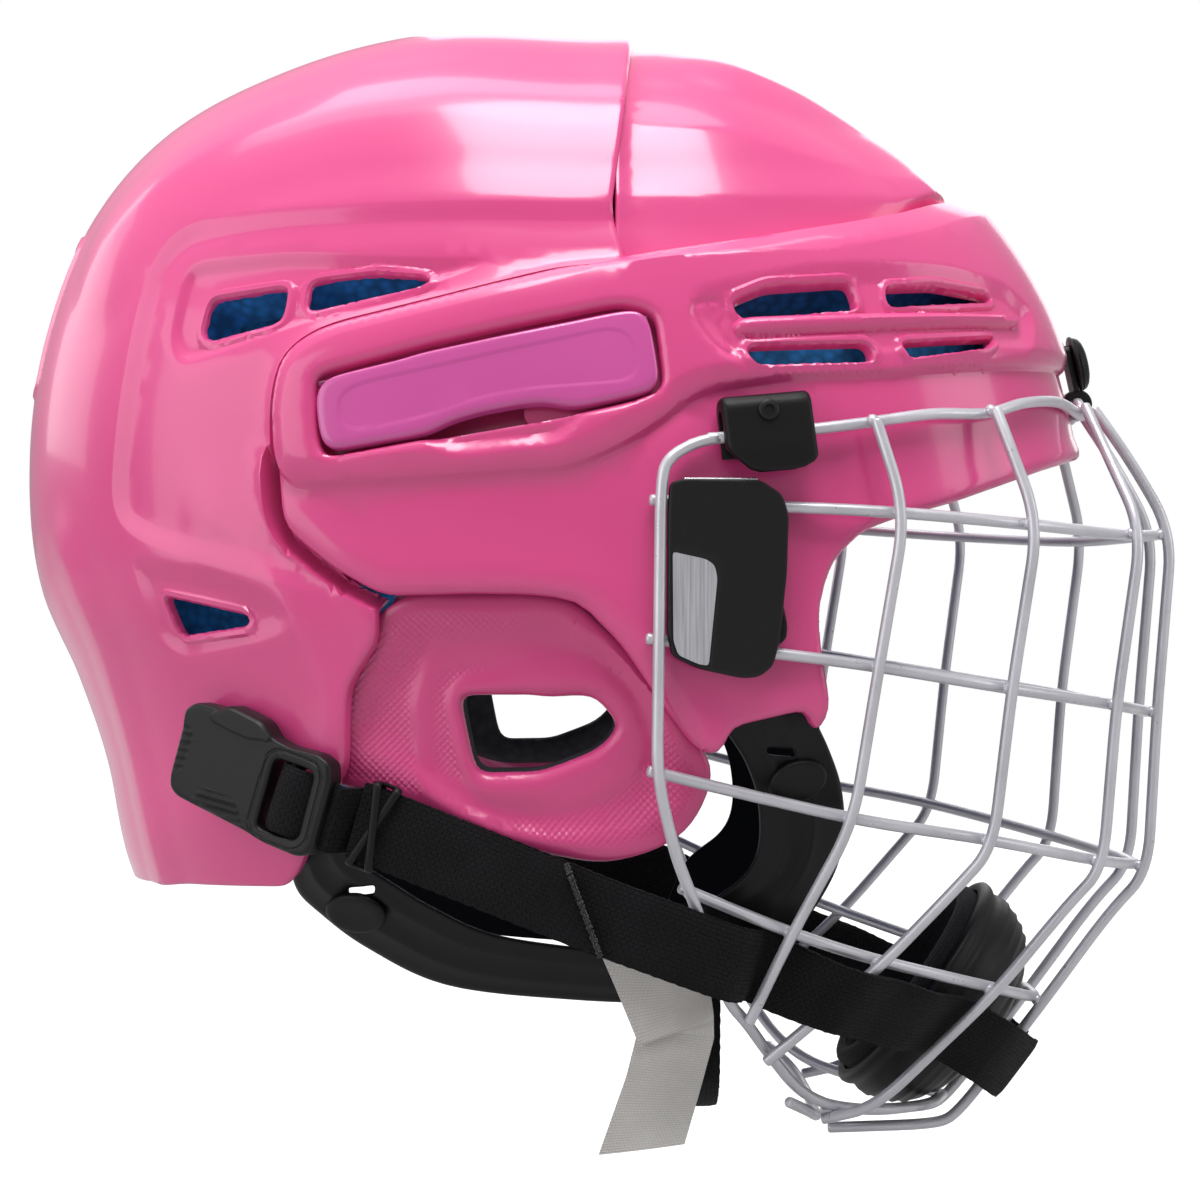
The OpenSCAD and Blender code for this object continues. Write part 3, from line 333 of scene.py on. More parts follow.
def distance(p, poly, closed=True):
    """Millimetres from points to a chart line, less than 0 inside a closed one."""
    a = poly
    b = np.roll(poly, -1, 0) if closed else poly[1:]
    a = a if closed else poly[:-1]
    out = np.empty(len(p))
    inside = np.zeros(len(p), bool)
    ab = b - a
    ll = np.maximum((ab ** 2).sum(1), 1e-16)
    for s in range(0, len(p), 4000):
        q = p[s:s + 4000, None, :]
        w = q - a[None]
        t = np.clip((w * ab[None]).sum(2) / ll[None], 0, 1)
        d = w - t[..., None] * ab[None]
        out[s:s + 4000] = np.sqrt((d ** 2).sum(2).min(1))
        if closed:
            y0, y1 = a[None, :, 1], b[None, :, 1]
            cross = (y0 > q[..., 1]) != (y1 > q[..., 1])
            dy = np.where(np.abs(y1 - y0) < 1e-12, 1e-12, y1 - y0)
            xi = a[None, :, 0] + (q[..., 1] - y0) * (b[None, :, 0] - a[None, :, 0]) / dy
            inside[s:s + 4000] = (cross & (q[..., 0] < xi)).sum(1) % 2 == 1
    out *= SPREAD
    return np.where(inside, -out, out) if closed else out


def anticlockwise(p):
    return (p[:, 0] * np.roll(p[:, 1], -1) - np.roll(p[:, 0], -1) * p[:, 1]).sum() > 0


def rows(poly, offsets, closed=True):
    """Lines of points beside a chart line, at distances in millimetres (less than 0 is inside)."""
    t = (np.roll(poly, -1, 0) - np.roll(poly, 1, 0)) if closed else np.gradient(poly, axis=0)
    t /= np.maximum(np.hypot(t[:, 0], t[:, 1]), 1e-12)[:, None]
    n = np.stack([t[:, 1], -t[:, 0]], -1)
    if closed and not anticlockwise(poly):
        n = -n
    out = []
    for o in offsets:
        q = poly + n * o / SPREAD
        out.append(q[np.abs(np.abs(distance(q, poly, closed)) - abs(o)) < 0.06 + 0.02 * abs(o)])
    return np.vstack(out) if out else np.zeros((0, 2))


def feature(*sets):
    """Rows beside several lines, each given as (line, distances), with False after them for an open line."""
    return np.vstack([rows(*s) for s in sets])


def keep_out(outline, holes=()):
    """Test for chart points inside an outline and outside its holes."""
    def inside(c):
        ok = distance(c, outline) < 0
        for q in holes:
            ok &= distance(c, q) > 0
        return ok
    return inside


def cleared(pts, outline, holes, edge, gap):
    """The points that are edge or more inside an outline, and gap or more outside its holes."""
    pts = pts[distance(pts, outline) < -edge]
    for q in holes:
        pts = pts[distance(pts, q) > gap]
    return pts


def ramp(d, a, b):
    """0 up to a, 1 from b, and smooth between them."""
    u = np.clip((d - a) / (b - a), 0, 1)
    return u * u * (3 - 2 * u)


def slope(d, a, b):
    """Straight ramp, whose ends are rounded only by the rows of points beside them."""
    return np.clip((d - a) / (b - a), 0, 1)


def tent(d, w):
    """Soft ridge across a line: 1 on it, 0 at a distance w, with a rounded crest."""
    u = np.sqrt((d / w) ** 2 + 0.006)
    return np.clip(1.0774 - u, 0, None)


def mesh_object(name, verts, faces, mat, uv=None, angle=40, attrs=None):
    me = bpy.data.meshes.new(name)
    me.from_pydata((np.asarray(verts, float) * MM).tolist(), [], [tuple(map(int, f)) for f in faces])
    me.validate()
    if uv is not None:
        lay = me.uv_layers.new(name="UVMap")
        idx = np.empty(len(me.loops), int)
        me.loops.foreach_get("vertex_index", idx)
        lay.data.foreach_set("uv", np.asarray(uv, np.float32)[idx].ravel())
    for k, v in (attrs or {}).items():
        at = me.attributes.new(k, "FLOAT", "POINT")
        at.data.foreach_set("value", np.asarray(v, np.float32))
    me.polygons.foreach_set("use_smooth", [True] * len(me.polygons))
    if angle:
        me.set_sharp_from_angle(angle=math.radians(angle))
    me.materials.append(mat)
    o = bpy.data.objects.new(name, me)
    scene.collection.objects.link(o)
    return o


def outward(o, each=True):
    """Turns the faces outwards: each island on its own, or the whole mesh as it is."""
    bm = bmesh.new()
    bm.from_mesh(o.data)
    if each:
        bmesh.ops.recalc_face_normals(bm, faces=bm.faces)
    if bm.calc_volume(signed=True) < 0:
        bmesh.ops.reverse_faces(bm, faces=bm.faces)
    bm.to_mesh(o.data)
    bm.free()
    return o


def put(o, body, slot, *nodes):
    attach(o, body)
    if nodes:
        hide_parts(*nodes)
    return o


def triangles(inside, loops, extra, mirror, spacing):
    """Triangles of the chart that belong to a piece: points, faces, and which points lie on the middle plane."""
    edges, n = [], 0
    if mirror:
        a = np.arange(RIM_POINTS) * 2 * PI / RIM_POINTS
        loops = loops + [np.stack([np.cos(a), np.sin(a)], -1)]
    for lp in loops:
        m = len(lp)
        edges += [(n + i, n + (i + 1) % m) for i in range(m)]
        n += m
    fixed = np.vstack(loops)
    near = np.vstack([fixed, extra])
    # an even grid of points, left out near the others and past the middle plane
    s = spacing / SPREAD
    lo_c, hi_c = (np.array([-1.05, -1.05]), np.array([1.05, 1.05])) if mirror else (fixed.min(0), fixed.max(0))
    gx, gy = np.meshgrid(np.arange(lo_c[0], hi_c[0] + s, s), np.arange(lo_c[1], hi_c[1] + s, s * 0.866))
    gx = gx + (np.arange(gx.shape[0]) % 2)[:, None] * s / 2
    grid = np.stack([gx.ravel(), gy.ravel()], -1)
    cell = s * 0.75
    keys = set(map(tuple, np.floor(near / cell).astype(int)))
    gk = np.floor(grid / cell).astype(int)
    grid = grid[np.array([tuple(c) not in keys for c in gk])]
    if mirror:
        grid = grid[np.hypot(*grid.T) < 1 - 0.4 * s]
    allp = np.vstack([near, grid])
    if mirror:
        allp = allp[(np.hypot(*allp.T) < 1 - 0.15 * s) | (np.arange(len(allp)) < len(fixed))]
    v, _, f, *_ = delaunay_2d_cdt([Vector(map(float, p)) for p in allp], edges, [], 0, 1e-6)
    v = np.array([tuple(p) for p in v])
    f = np.array([t for t in f if len(t) == 3])
    # the triangles that are inside and have an area, and the points that they use
    c = v[f].mean(1)
    ok = inside(c)
    if mirror:
        ok &= np.hypot(*c.T) < 1
    f = f[ok]
    p, q = (v[f[:, 1]] - v[f[:, 0]]).T, (v[f[:, 2]] - v[f[:, 0]]).T
    f = f[np.abs(p[0] * q[1] - q[0] * p[1]) > 1e-11]
    used = np.unique(f)
    new = -np.ones(len(v), int)
    new[used] = np.arange(len(used))
    v, f = v[used], new[f]
    rr = np.hypot(*v.T)
    mid = rr > 1 - 3e-5 if mirror else np.zeros(len(v), bool)
    v[mid] /= rr[mid][:, None]
    return v, f, mid


def sheet_mesh(name, inside, loops, extra, high, low, mat, mirror=True, spacing=3.0, flipped=False, plain=None,
               low_side=None, angle=40, placer=None):
    """Wall over one or both halves of the dome, cut from the chart.

    inside(points) tells what belongs to it, loops are the lines that its edges follow, extra are rows of
    points where its form needs them, and high and low give the rises of its two faces.
    """
    v, f, mid = triangles(inside, loops, extra, mirror, spacing)
    if placer is None:
        yz = place(v, np.zeros(len(v)))[:, 1:]
        hi, lo = high(v, yz), low(v, yz)
        top = place(v, hi)
        bot = place(v, lo, None if low_side is None else low_side(v, yz))
    else:
        yz = v * SPREAD
        hi, lo = high(v, yz), low(v, yz)
        top, bot = placer(yz, hi), placer(yz, lo)
    # walls between the two faces, at the edges that one triangle has
    m = len(v)
    raw = np.vstack([f[:, [0, 1]], f[:, [1, 2]], f[:, [2, 0]]])
    _, inv, cnt = np.unique(np.sort(raw, 1), axis=0, return_inverse=True, return_counts=True)
    rim = raw[cnt[inv.ravel()] == 1]
    if mirror:
        rim = rim[~(mid[rim[:, 0]] & mid[rim[:, 1]])]
    faces = np.vstack([f, f[:, ::-1] + m])
    walls = np.stack([rim[:, 1], rim[:, 0], rim[:, 0] + m, rim[:, 1] + m], -1)
    verts = np.vstack([top, bot])
    faces = [tuple(t) for t in faces] + [tuple(w) for w in walls]
    uvs = np.vstack([yz, yz])
    if mirror:
        both = np.concatenate([mid, mid])
        other = np.where(both, np.arange(2 * m), 2 * m + np.cumsum(~both) - 1)
        faces += [tuple(other[list(t)][::-1]) for t in faces]
        verts = np.vstack([verts, verts[~both] * MIRROR])
        uvs = np.vstack([uvs, uvs[~both]])
    if flipped:
        verts = verts * MIRROR
        faces = [t[::-1] for t in faces]
    att = {"plain": np.tile(plain(v, yz), 2)} if plain else None
    return outward(mesh_object(name, verts, faces, mat, uvs, angle, att), False)


def edge_round(d, r):
    """Drop of a rounded edge at a depth d inside its outline."""
    u = np.clip(1 - d / r, 0, 1)
    return r * (1 - np.sqrt(np.clip(1 - u * u, 0, 1)))


# Outlines of the shells, as [y, z]
brow_line = [[-15.6, 104.9], [-30.9, 107.7], [-43.6, 109.9], [-63.1, 113.8], [-74.4, 116.6], [-81.6, 119.3],
    [-92, 122.5], [-106, 124], [-150, 124]]
ledge_line = [[-150, 84], [-117, 83.5], [-95.9, 81.9], [-66.5, 79], [-47.4, 77.8], [-30.7, 74.9], [-18.2, 65.5],
    [-5.9, 59.3], [25, 56.8], [53.2, 55.3]]
arm_end = [[57, 58], [58.2, 65], [58.2, 74.1], [56.6, 82.5], [52.5, 86.6], [46.2, 89.7], [25.3, 94.8],
    [-1.7, 101.6]]
cheek_edge = [[56.6, 50], [55.2, 47], [44.7, 38.7], [35.3, 33.5], [14.7, 34.1], [-4.9, 33.1], [-14.1, 24.3],
    [-22.4, 11.9], [-30.7, 0.5], [-36, 0.2], [-36.8, 5.8], [-54, 9.7], [-55.2, 4], [-58.4, 8.6], [-58.2, 11.7],
    [-56.1, 24.2], [-56.1, 32.5], [-58.9, 40.8], [-65.3, 47.1], [-72.8, 49.9], [-86.1, 53.6], [-108.1, 61.3],
    [-150, 74]]
side_panel = [[94.5, 53.8], [92.4, 75.2], [89, 96], [84, 109], [77.8, 113.5], [60, 115.5], [32.2, 116.6],
    [-30, 116.7], [-30, 60], [35.5, 30.5], [82.8, 43], [92.1, 47.4]]
vents = [[[-38.2, 95], [-45.5, 98.1], [-63.2, 99.8], [-64.6, 94.6], [-39.6, 92]],
    [[-71.4, 99], [-82.6, 100], [-95, 98.7], [-95, 97.9], [-71.6, 95.4]],
    [[-41.2, 85.6], [-67, 86.8], [-68, 83.4], [-42.4, 82.1]],
    [[-74.4, 87], [-95.3, 89.2], [-93.3, 87.1], [-75.8, 84.3]]]
rear_vents = [[[73.2, 96.9], [57.2, 99], [58.2, 92.5], [73.8, 88.8], [75, 90]],
    [[51.2, 100.2], [38.2, 101.8], [26.4, 100.8], [27, 99.4], [52, 94.7]],
    [[81.8, 32.6], [64, 28.8], [64.4, 27.6], [78.8, 25.4]]]


def grow_box(pts, d):
    """Convex outline pushed out by d."""
    p = np.array(pts, float)
    q = np.roll(p, -1, 0) - p
    n = np.stack([q[:, 1], -q[:, 0]], -1) / np.hypot(q[:, 0], q[:, 1])[:, None] * (1 if anticlockwise(p) else -1)
    out = []
    for i in range(len(p)):
        a, b = n[i - 1], n[i]
        out.append(p[i] + (a + b) / max(0.35, 1 + a @ b) * d)
    return np.array(out)


# Front shell: dome, brow band with arms, brim with cheeks
L_front = line([[-13.5, 185], [-13.5, 160], [-13.5, 102.6], [-1.7, 101.6]] + arm_end[:-1][::-1] + cheek_edge
    + [[-185, 90], [-185, 185]], BROW * 0.6, step=1.5)
L_band = line(brow_line + ledge_line + arm_end, 3, step=1.5, round_=4)
L_vents = [line(grow_box(v, 0.3), BROW, step=0.8, round_=3) for v in vents]
L_window = line([[49.6, 79.6], [25.3, 86.1], [3.2, 91], [-14.2, 94.6], [-21.6, 92.8], [-23.6, 76.4], [-14.2, 73.1],
    [3, 69.7], [25, 66.2], [47.9, 62.2], [49, 66]], BROW, step=1.0, round_=4)
L_scoop = line([[29.5, 68], [21.9, 61.6], [-1.8, 64.6], [-8.5, 71.5]], BROW, step=1.0, round_=3)
L_panel = line([[-29.5, 97.5], [-39, 99.9], [-54, 103.2], [-70, 104.4], [-84, 104.2], [-98, 101.8], [-104.5, 97],
    [-105.5, 92], [-104, 86.2], [-84, 83.2], [-66, 81.2], [-41, 79.6], [-34, 83.5], [-27.6, 91.6]],
    BROW, step=1.2, round_=4)
L_bar = line([[-37.2, 89.4], [-38.7, 87.6], [-70, 89.9], [-101.5, 92.2], [-102.2, 95.1], [-70, 93.6],
    [-38.5, 91.9]], BROW, step=1.0, round_=4)
L_small = line([[-28.6, 94.9], [-37, 96.2], [-37.8, 92.6], [-35.6, 91.2], [-35.4, 88.2], [-38.8, 85.6],
    [-38.9, 82.6], [-34.8, 84.2], [-29.6, 90]], BROW, step=1.0, round_=3)
L_liplow = line([[-146, 73.2], [-106, 63.2], [-85, 55.6], [-71, 51.8], [-62.4, 48], [-56.4, 41], [-53.6, 32.5],
    [-53.6, 24.2], [-55.6, 12]], BRIM, closed=False, step=1.4)
L_cheekfold = line([[53.2, 51.8], [44, 43.6], [33.6, 38.4], [12.7, 38.8], [-8.6, 36.8], [-17.8, 27.4], [-26, 15],
    [-31.5, 7], [-33, 2.5]], BRIM, closed=False, step=1.4)
L_facet = line([[-20, 77], [-27, 62], [-31.5, 50], [-31, 40], [-25, 30]], BRIM, closed=False, step=1.5)
crests = [[[-15, 133.5], [-24.5, 132.6], [-38.8, 131.8], [-51.2, 128], [-64.4, 124.8], [-78.5, 122.6]],
    [[-42, 148.5], [-55, 143.5], [-66.5, 136.3], [-75.5, 128.4], [-79, 123.4]],
    [[-13, 117.5], [-34.6, 117.6], [-60, 118.4], [-82.5, 119.2], [-97, 120]]]
L_crest = [line(c, 0, closed=False, step=1.6, round_=6) for c in crests]


def front_forms(c, yz):
    """Distance from the brow band, what is under the helmet's mid height, and the outer and inner rise beside it."""
    y = yz[:, 0]
    low = yz[:, 1] < np.where(y < 0, 88 - 0.14 * y, 88 - 0.34 * y)
    ground = np.where(low, BRIM, 3.9 * ramp(y, -17, -9))
    inner = np.where(low, BRIM - WALL, -WALL + (BROW - WALL + 2.4) * ramp(y, -14, -9))
    return distance(c, L_band), low, ground, inner


# rises of a shell's outer face, kept for its inner one
held = {}
# radius of the bar between the vents
BAR_R = 2.4


def front_high(c, yz):
    """Rise of the front shell's outer face."""
    s_band, low, ground, _ = front_forms(c, yz)
    depth = -s_band
    width = np.where(low, 3.0, 3.2 + 3.3 * ramp(-yz[:, 0], 20, 80))
    b = 0.5 * slope(depth, 0, 0.5) + 0.5 * slope(depth, 0.5, width)
    h = ground + (BROW - ground) * b
    # soft folds of the dome
    dome = (1 - ramp(-s_band, -2, 0)) * np.where(low, 0, 1)
    h += dome * (1.7 * tent(distance(c, L_crest[0], False), 15) + 1.5 * tent(distance(c, L_crest[1], False), 14)
                 + 0.8 * tent(distance(c, L_crest[2], False), 6))
    # brow panel round the vents, its bar and the small side panel
    sp = distance(c, L_panel)
    h -= 1.5 * slope(-sp, 0, 3.2)
    sb = distance(c, L_bar)
    bar_up = np.sqrt(np.clip(1 - (np.clip(BAR_R + sb, 0, BAR_R) / BAR_R) ** 2, 0, 1)) * (sb < 0)
    sm = distance(c, L_small)
    near = np.min([distance(c, lv) for lv in L_vents], 0)
    h -= (0.35 * (1 - slope(np.abs(sm + 0.3), 0.1, 0.5)) * slope(near, 1.7, 2.6) * slope(sb, 0.4, 1.2)
          * slope(depth, 1.2, 2.6))
    for lv in L_vents:
        d = distance(c, lv)
        h += 0.6 * (slope(d, 0.0, 0.35) - slope(d, 1.1, 1.5)) * (d > 0) * slope(sb, 0, 0.7) * slope(depth, 1.0, 2.4)
        h -= edge_round(d, 0.35) * (d > 0)
    h += 2.2 * bar_up
    # frame and well of the lever, and the finger scoop under it
    dw = distance(c, L_window)
    h -= edge_round(dw, 1.5)
    ds = distance(c, L_scoop)
    h -= 2.2 * slope(-ds, 0, 2.6)
    # folds along the cheeks and the brim
    cheek = ramp(s_band, 0, 2) * np.where(low, 1, 0)
    h += cheek * 0.55 * (tent(distance(c, L_cheekfold, False), 3.4) + tent(distance(c, L_liplow, False), 3.2))
    h += cheek * 0.8 * tent(distance(c, L_facet, False), 9)
    h -= edge_round(-distance(c, L_front), 1.1) * 0.9
    held["top"] = h
    return h


def front_low(c, yz):
    """Rise of its inner face."""
    s_band, low, _, inner = front_forms(c, yz)
    b = ramp(-s_band, 0, 3.4)
    h = inner + (BROW - WALL - inner) * b
    h = np.where(~low & (yz[:, 0] > -13), BROW - WALL, h)
    sp = distance(c, L_panel)
    h -= 1.0 * ramp(-sp, 0, 2.4)
    return np.minimum(h, held["top"] - 0.7)


# distances of the rows of points inside an edge
STEP_IN = [-0.15, -0.4, -0.8, -1.2]
vent_rows = feature(*[(v, [0.12, 0.4, 0.75, 1.05, 1.55, 1.9]) for v in L_vents])
extra = feature((L_panel, [0.25, -0.25, -1.6, -2.95, -3.45]),
    (L_bar, [0.12, -0.1, -0.35, -0.75, -1.3, -2.0]),
    (L_small, [0.2, -0.12, -0.48, -0.8]), (L_scoop, [0.25, -0.25, -1.3, -2.35, -2.85]),
    (L_window, [0.12, 0.35, 0.7, 1.1, 1.5, 2.4]),
    (L_cheekfold, [-3, -1.2, -0.4, 0, 0.4, 1.2, 3], False), (L_liplow, [-3, -1.2, -0.4, 0, 0.4, 1.2, 3], False),
    (L_facet, [-0.8, 0, 0.8], False), *[(v, [-1.5, -0.6, 0, 0.6, 1.5], False) for v in L_crest])
extra = np.vstack([extra, vent_rows])
extra = extra[np.abs(distance(extra, L_band) + 0.25) > 0.6]
extra = np.vstack([extra, feature((L_front, STEP_IN),
    (L_band, [0.15, -0.12, -0.42, -0.65, -1.6, -2.85, -3.3, -6.2, -6.8]))])
# a finer grid of points over the brow panel
fy, fz = np.meshgrid(np.arange(-107, -26, 0.85), np.arange(78.5, 107, 0.7))
fill = chart(np.stack([fy.ravel(), fz.ravel()], -1), BROW)
far = (np.abs(distance(fill, L_bar) + 0.95) > 1.3) & (np.abs(distance(fill, L_band) + 0.2) > 0.9)
far &= np.linalg.norm(fill, axis=1) < 0.97
for lv, lo, hi in [(v, -1, 2.2) for v in L_vents] + [(L_small, -1.1, 0.5), (L_panel, -0.5, 0.5)]:
    d = distance(fill, lv)
    far &= (d < lo) | (d > hi)
extra = np.vstack([extra, fill[far]])
holes = L_vents + [L_window]
o = sheet_mesh("front_shell_moulding", keep_out(L_front, holes), [L_front, L_window, *L_vents],
    cleared(extra, L_front, holes, 0.1, 0.08), front_high, front_low, pink, spacing=2.6)
put(o, "shell", "shell", "front_shell")

# Rear shell, whose wings lie under the front one
L_rear = line([[-12, 62], [30, 62], [36.5, 39], [36.5, 24.2], [42.9, 13.8], [43, -2.8], [50, -15], [53, -24],
    [56, -28.3], [81, -29.2], [100, -30.8], [190, -31], [190, 190], [-17.1, 190], [-17.1, 170], [-17.1, 156.4],
    [-15.4, 137.6], [-12.5, 115.6], [-15.6, 105.7], [-15.6, 100]], LIP, step=1.6)
L_arm = line([[-40, 104.9], [-40, 36], [35.3, 36], [44.7, 38.7], [55.2, 47], [56.6, 50]] + arm_end, LIP, step=1.4)
L_low = line([[-40, 75.5], [-40, 30], [35.3, 33.5], [44.7, 38.7], [55.2, 47], [56.6, 50], [57.5, 62], [53.2, 56.7],
    [25, 58.2]], 0.5, step=1.4)
L_rvents = [line(grow_box(v, 0.5), LIP, step=0.8, round_=3) for v in rear_vents]


def stadium(x, y0, y1, w, step):
    """Outline of a slot round x, 2 w wide, whose round ends are centred at y0 and y1."""
    a = np.linspace(0, PI, 9)
    p = np.vstack([np.stack([x + w * np.cos(a), y1 + w * np.sin(a)], -1),
                   np.stack([x - w * np.cos(a), y0 - w * np.sin(a)], -1)])
    return resample(p, step, True)


slot_c = stadium(0, 84, 108, 4, 1.0)
L_slot = chart_from(24 + slot_c[:, 0], slot_c[:, 1], LIP)
L_side = line(side_panel, LIP, step=1.6, round_=8)
L_frame = line([[82.5, 88.5], [79.5, 103.5], [77, 105.3], [55, 106.6], [30, 105.2], [10.5, 104.8], [24, 99.5],
    [50, 91.5], [73, 84.2], [80, 82.4]], LIP, step=1.4, round_=4)
L_framelow = line([[90, 42], [84, 24], [78, 20.2], [56, 24.8], [52.5, 28], [56, 33.2], [70, 38.5]],
    LIP, step=1.4, round_=5)
L_char = line([[94, 112], [83.5, 122.8], [70.4, 130.3], [45, 137], [20, 139.5], [-15, 138.5]],
    LIP, closed=False, step=1.6, round_=8)
L_tail = line([[106, 42], [98, 24], [92.5, 5], [88, -14], [84, -31]], LIP, closed=False, step=1.6, round_=5)
L_lowfold = line([[47, -6], [46.8, 12], [52, 24], [60, 40], [72, 50]], LIP, closed=False, step=1.6, round_=5)
L_spine = chart_from(np.full(120, 13.0), np.linspace(-28, 140, 120), LIP)


def clear_of(c):
    """How far a point is clear of the front shell's arm and cheek, which hide the wings."""
    return np.minimum(distance(c, L_arm) + 1.0, distance(c, L_low) - 0.6)


def rear_high(c, yz):
    """Rise of the rear shell's outer face."""
    y, z = yz[:, 0], yz[:, 1]
    s = clear_of(c)
    h = -WING + (LIP + WING) * ramp(s, 0.05, 1.9)
    out = ramp(s, 1.5, 3.2)
    side = distance(c, L_side)
    h -= out * 1.2 * slope(-side, 0, 3.4)
    h += out * 1.9 * tent(distance(c, L_char, False), 16)
    fr = distance(c, L_frame)
    h -= out * 1.3 * slope(-fr, 0, 2.0)
    fl = distance(c, L_framelow)
    h -= out * 1.0 * slope(-fl, 0, 3.0)
    for lv in L_rvents:
        d = distance(c, lv)
        h += 0.6 * (slope(d, 0.0, 0.35) - slope(d, 1.2, 1.6)) * (d > 0) * slope(s, 3.0, 4.8)
        h -= edge_round(d, 0.35) * (d > 0)
    d = distance(c, L_slot)
    h += 0.5 * (slope(d, 0.5, 0.9) - slope(d, 2.0, 2.6))
    h -= edge_round(d, 0.5)
    h += out * 0.9 * tent(distance(c, L_lowfold, False), 8)
    h += out * 1.0 * tent(distance(c, L_tail, False), 9)
    back = ramp(y, 60, 84)
    h -= back * 1.1 * ramp(-distance(c, L_spine, False), -7, -3) * ramp(z, 62, 76) * (1 - ramp(z, 116, 128))
    h -= edge_round(-distance(c, L_rear), 1.1) * 0.9
    held["top"] = h
    return h


def rear_low(c, yz):
    """Rise of its inner face."""
    s = clear_of(c)
    h = -WING + (LIP + WING) * ramp(s, 0.0, 1.2) - WALL
    return np.minimum(h, held["top"] - 0.9)


def in_rear(c):
    yz = place(c, np.zeros(len(c)))[:, 1:]
    s = clear_of(c)
    return keep_out(L_rear, L_rvents + [L_slot])(c) & ~((s < 0) & ((yz[:, 0] < 3.2) | (yz[:, 1] < 38.6)))


extra = feature((L_rear, STEP_IN),
    (L_arm, [-1.05, -0.8, -0.3, 0.2, 0.7, 1.4]), (L_low, [0.55, 0.8, 1.3, 1.8, 2.4, 3]),
    (L_side, [0.25, -0.25, -1.7, -3.15, -3.65]), (L_frame, [0.25, -0.25, -1.0, -1.75, -2.25]),
    (L_framelow, [0.25, -0.25, -1.5, -2.75, -3.25]), (L_slot, [0.15, 0.4, 0.7, 1.1, 1.9, 2.7]),
    *[(v, [0.12, 0.4, 0.75, 1.15, 1.65, 2.0]) for v in L_rvents],
    (L_char, [-1.6, -0.6, 0, 0.6, 1.6], False), (L_tail, [-1, 0, 1], False), (L_lowfold, [-1, 0, 1], False))
o = sheet_mesh("rear_shell_moulding", in_rear, [L_rear, L_slot, *L_rvents],
    cleared(extra, L_rear, L_rvents + [L_slot], 0.1, 0.08), rear_high, rear_low, pink, spacing=2.8)
put(o, "rear", "shell", "rear_shell")

# More makers of meshes
def unit(v):
    v = np.asarray(v, float)
    return v / np.maximum(np.linalg.norm(v, axis=-1, keepdims=True), 1e-12)


def flat_line(pts, closed=True, round_=3, step=0.6):
    """Outline in a flat plane, in millimetres, as an evenly sampled, corner-rounded line."""
    p = resample(np.array(pts, float), 0.15, closed)
    return soften(resample(p, step, closed), round_, closed) / SPREAD


def slab(name, outline, holes, high, low, frame_of, mat, extra=None, spacing=1.2, flipped=False, angle=40):
    """Plate with its two faces given as heights over a plane or surface."""
    pts = feature((outline, STEP_IN), *[(h, [0.15, 0.4, 0.8]) for h in holes])
    if extra is not None:
        pts = np.vstack([pts, extra])
    return sheet_mesh(name, keep_out(outline, holes), [outline, *holes], cleared(pts, outline, holes, 0.08, 0.08),
        high, low, mat, mirror=False, spacing=spacing, flipped=flipped, placer=frame_of, angle=angle)


def skin(n, m, closed=False, ends=True):
    """Faces through n rings of m points each. A skin that isn't closed has flat ends."""
    faces = [(i * m + j, i * m + (j + 1) % m, (i + 1) % n * m + (j + 1) % m, (i + 1) % n * m + j)
             for i in range(n if closed else n - 1) for j in range(m)]
    if ends and not closed:
        faces += [tuple(range(m))[::-1], tuple((n - 1) * m + j for j in range(m))]
    return faces


def loft_mesh(name, rings, mat, closed=False, uv=None, angle=40):
    """Skin through rings of equal counts; uv gives each point's place in millimetres."""
    rings = np.asarray(rings, float)
    uv = None if uv is None else np.asarray(uv).reshape(-1, 2)
    return outward(mesh_object(name, rings.reshape(-1, 3), skin(*rings.shape[:2], closed), mat, uv, angle))


def frames(path, closed=False):
    """Directions along a path with two others that turn with it as little as they can."""
    p = np.asarray(path, float)
    t = unit(np.roll(p, -1, 0) - np.roll(p, 1, 0)) if closed else unit(np.gradient(p, axis=0))
    u = np.empty_like(p)
    a = np.array([0, 0, 1.0] if abs(t[0][2]) <= 0.95 else [0, 1.0, 0])
    u[0] = unit(a - t[0] * (a @ t[0]))
    for i in range(1, len(p)):
        v = u[i - 1] - t[i] * (u[i - 1] @ t[i])
        u[i] = unit(v)
    if closed:
        w = np.cross(t[-1], u[-1])
        q = u[0] - t[-1] * (u[0] @ t[-1])
        turn = math.atan2(unit(q) @ w, unit(q) @ u[-1])
        for i in range(len(p)):
            f = turn * i / len(p)
            u[i] = u[i] * math.cos(f) + np.cross(t[i], u[i]) * math.sin(f)
    return t, u, np.cross(t, u)


def wire_rings(path, r, sides=12, closed=False):
    """Rings of a round wire along a path, with eased ends unless it is closed."""
    p = np.asarray(path, float)
    t, u, v = frames(p, closed)
    a = np.arange(sides) * 2 * PI / sides

    def ring(i, k, s=0.0):
        return p[i] + t[i] * s + (u[i] * np.cos(a)[:, None] + v[i] * np.sin(a)[:, None]) * r * k

    rings = [ring(i, 1) for i in range(len(p))]
    if not closed:
        e = 0.5 * r
        rings[0] = ring(0, 1, e)
        rings[-1] = ring(-1, 1, -e)
        for f in (0.5, 0.85, 1.0):
            k = 1 - 0.5 * (1 - math.sqrt(1 - f * f))
            rings.insert(0, ring(0, k, e * (1 - f)))
            rings.append(ring(-1, k, -e * (1 - f)))
    return rings


def joined(name, pieces, mat, angle=40):
    """One mesh object out of several (vertices, faces) pairs."""
    vs, fs, n = [], [], 0
    for v, f in pieces:
        vs.append(v)
        fs += [tuple(np.array(t) + n) for t in f]
        n += len(v)
    return outward(mesh_object(name, np.vstack(vs), fs, mat, None, angle))


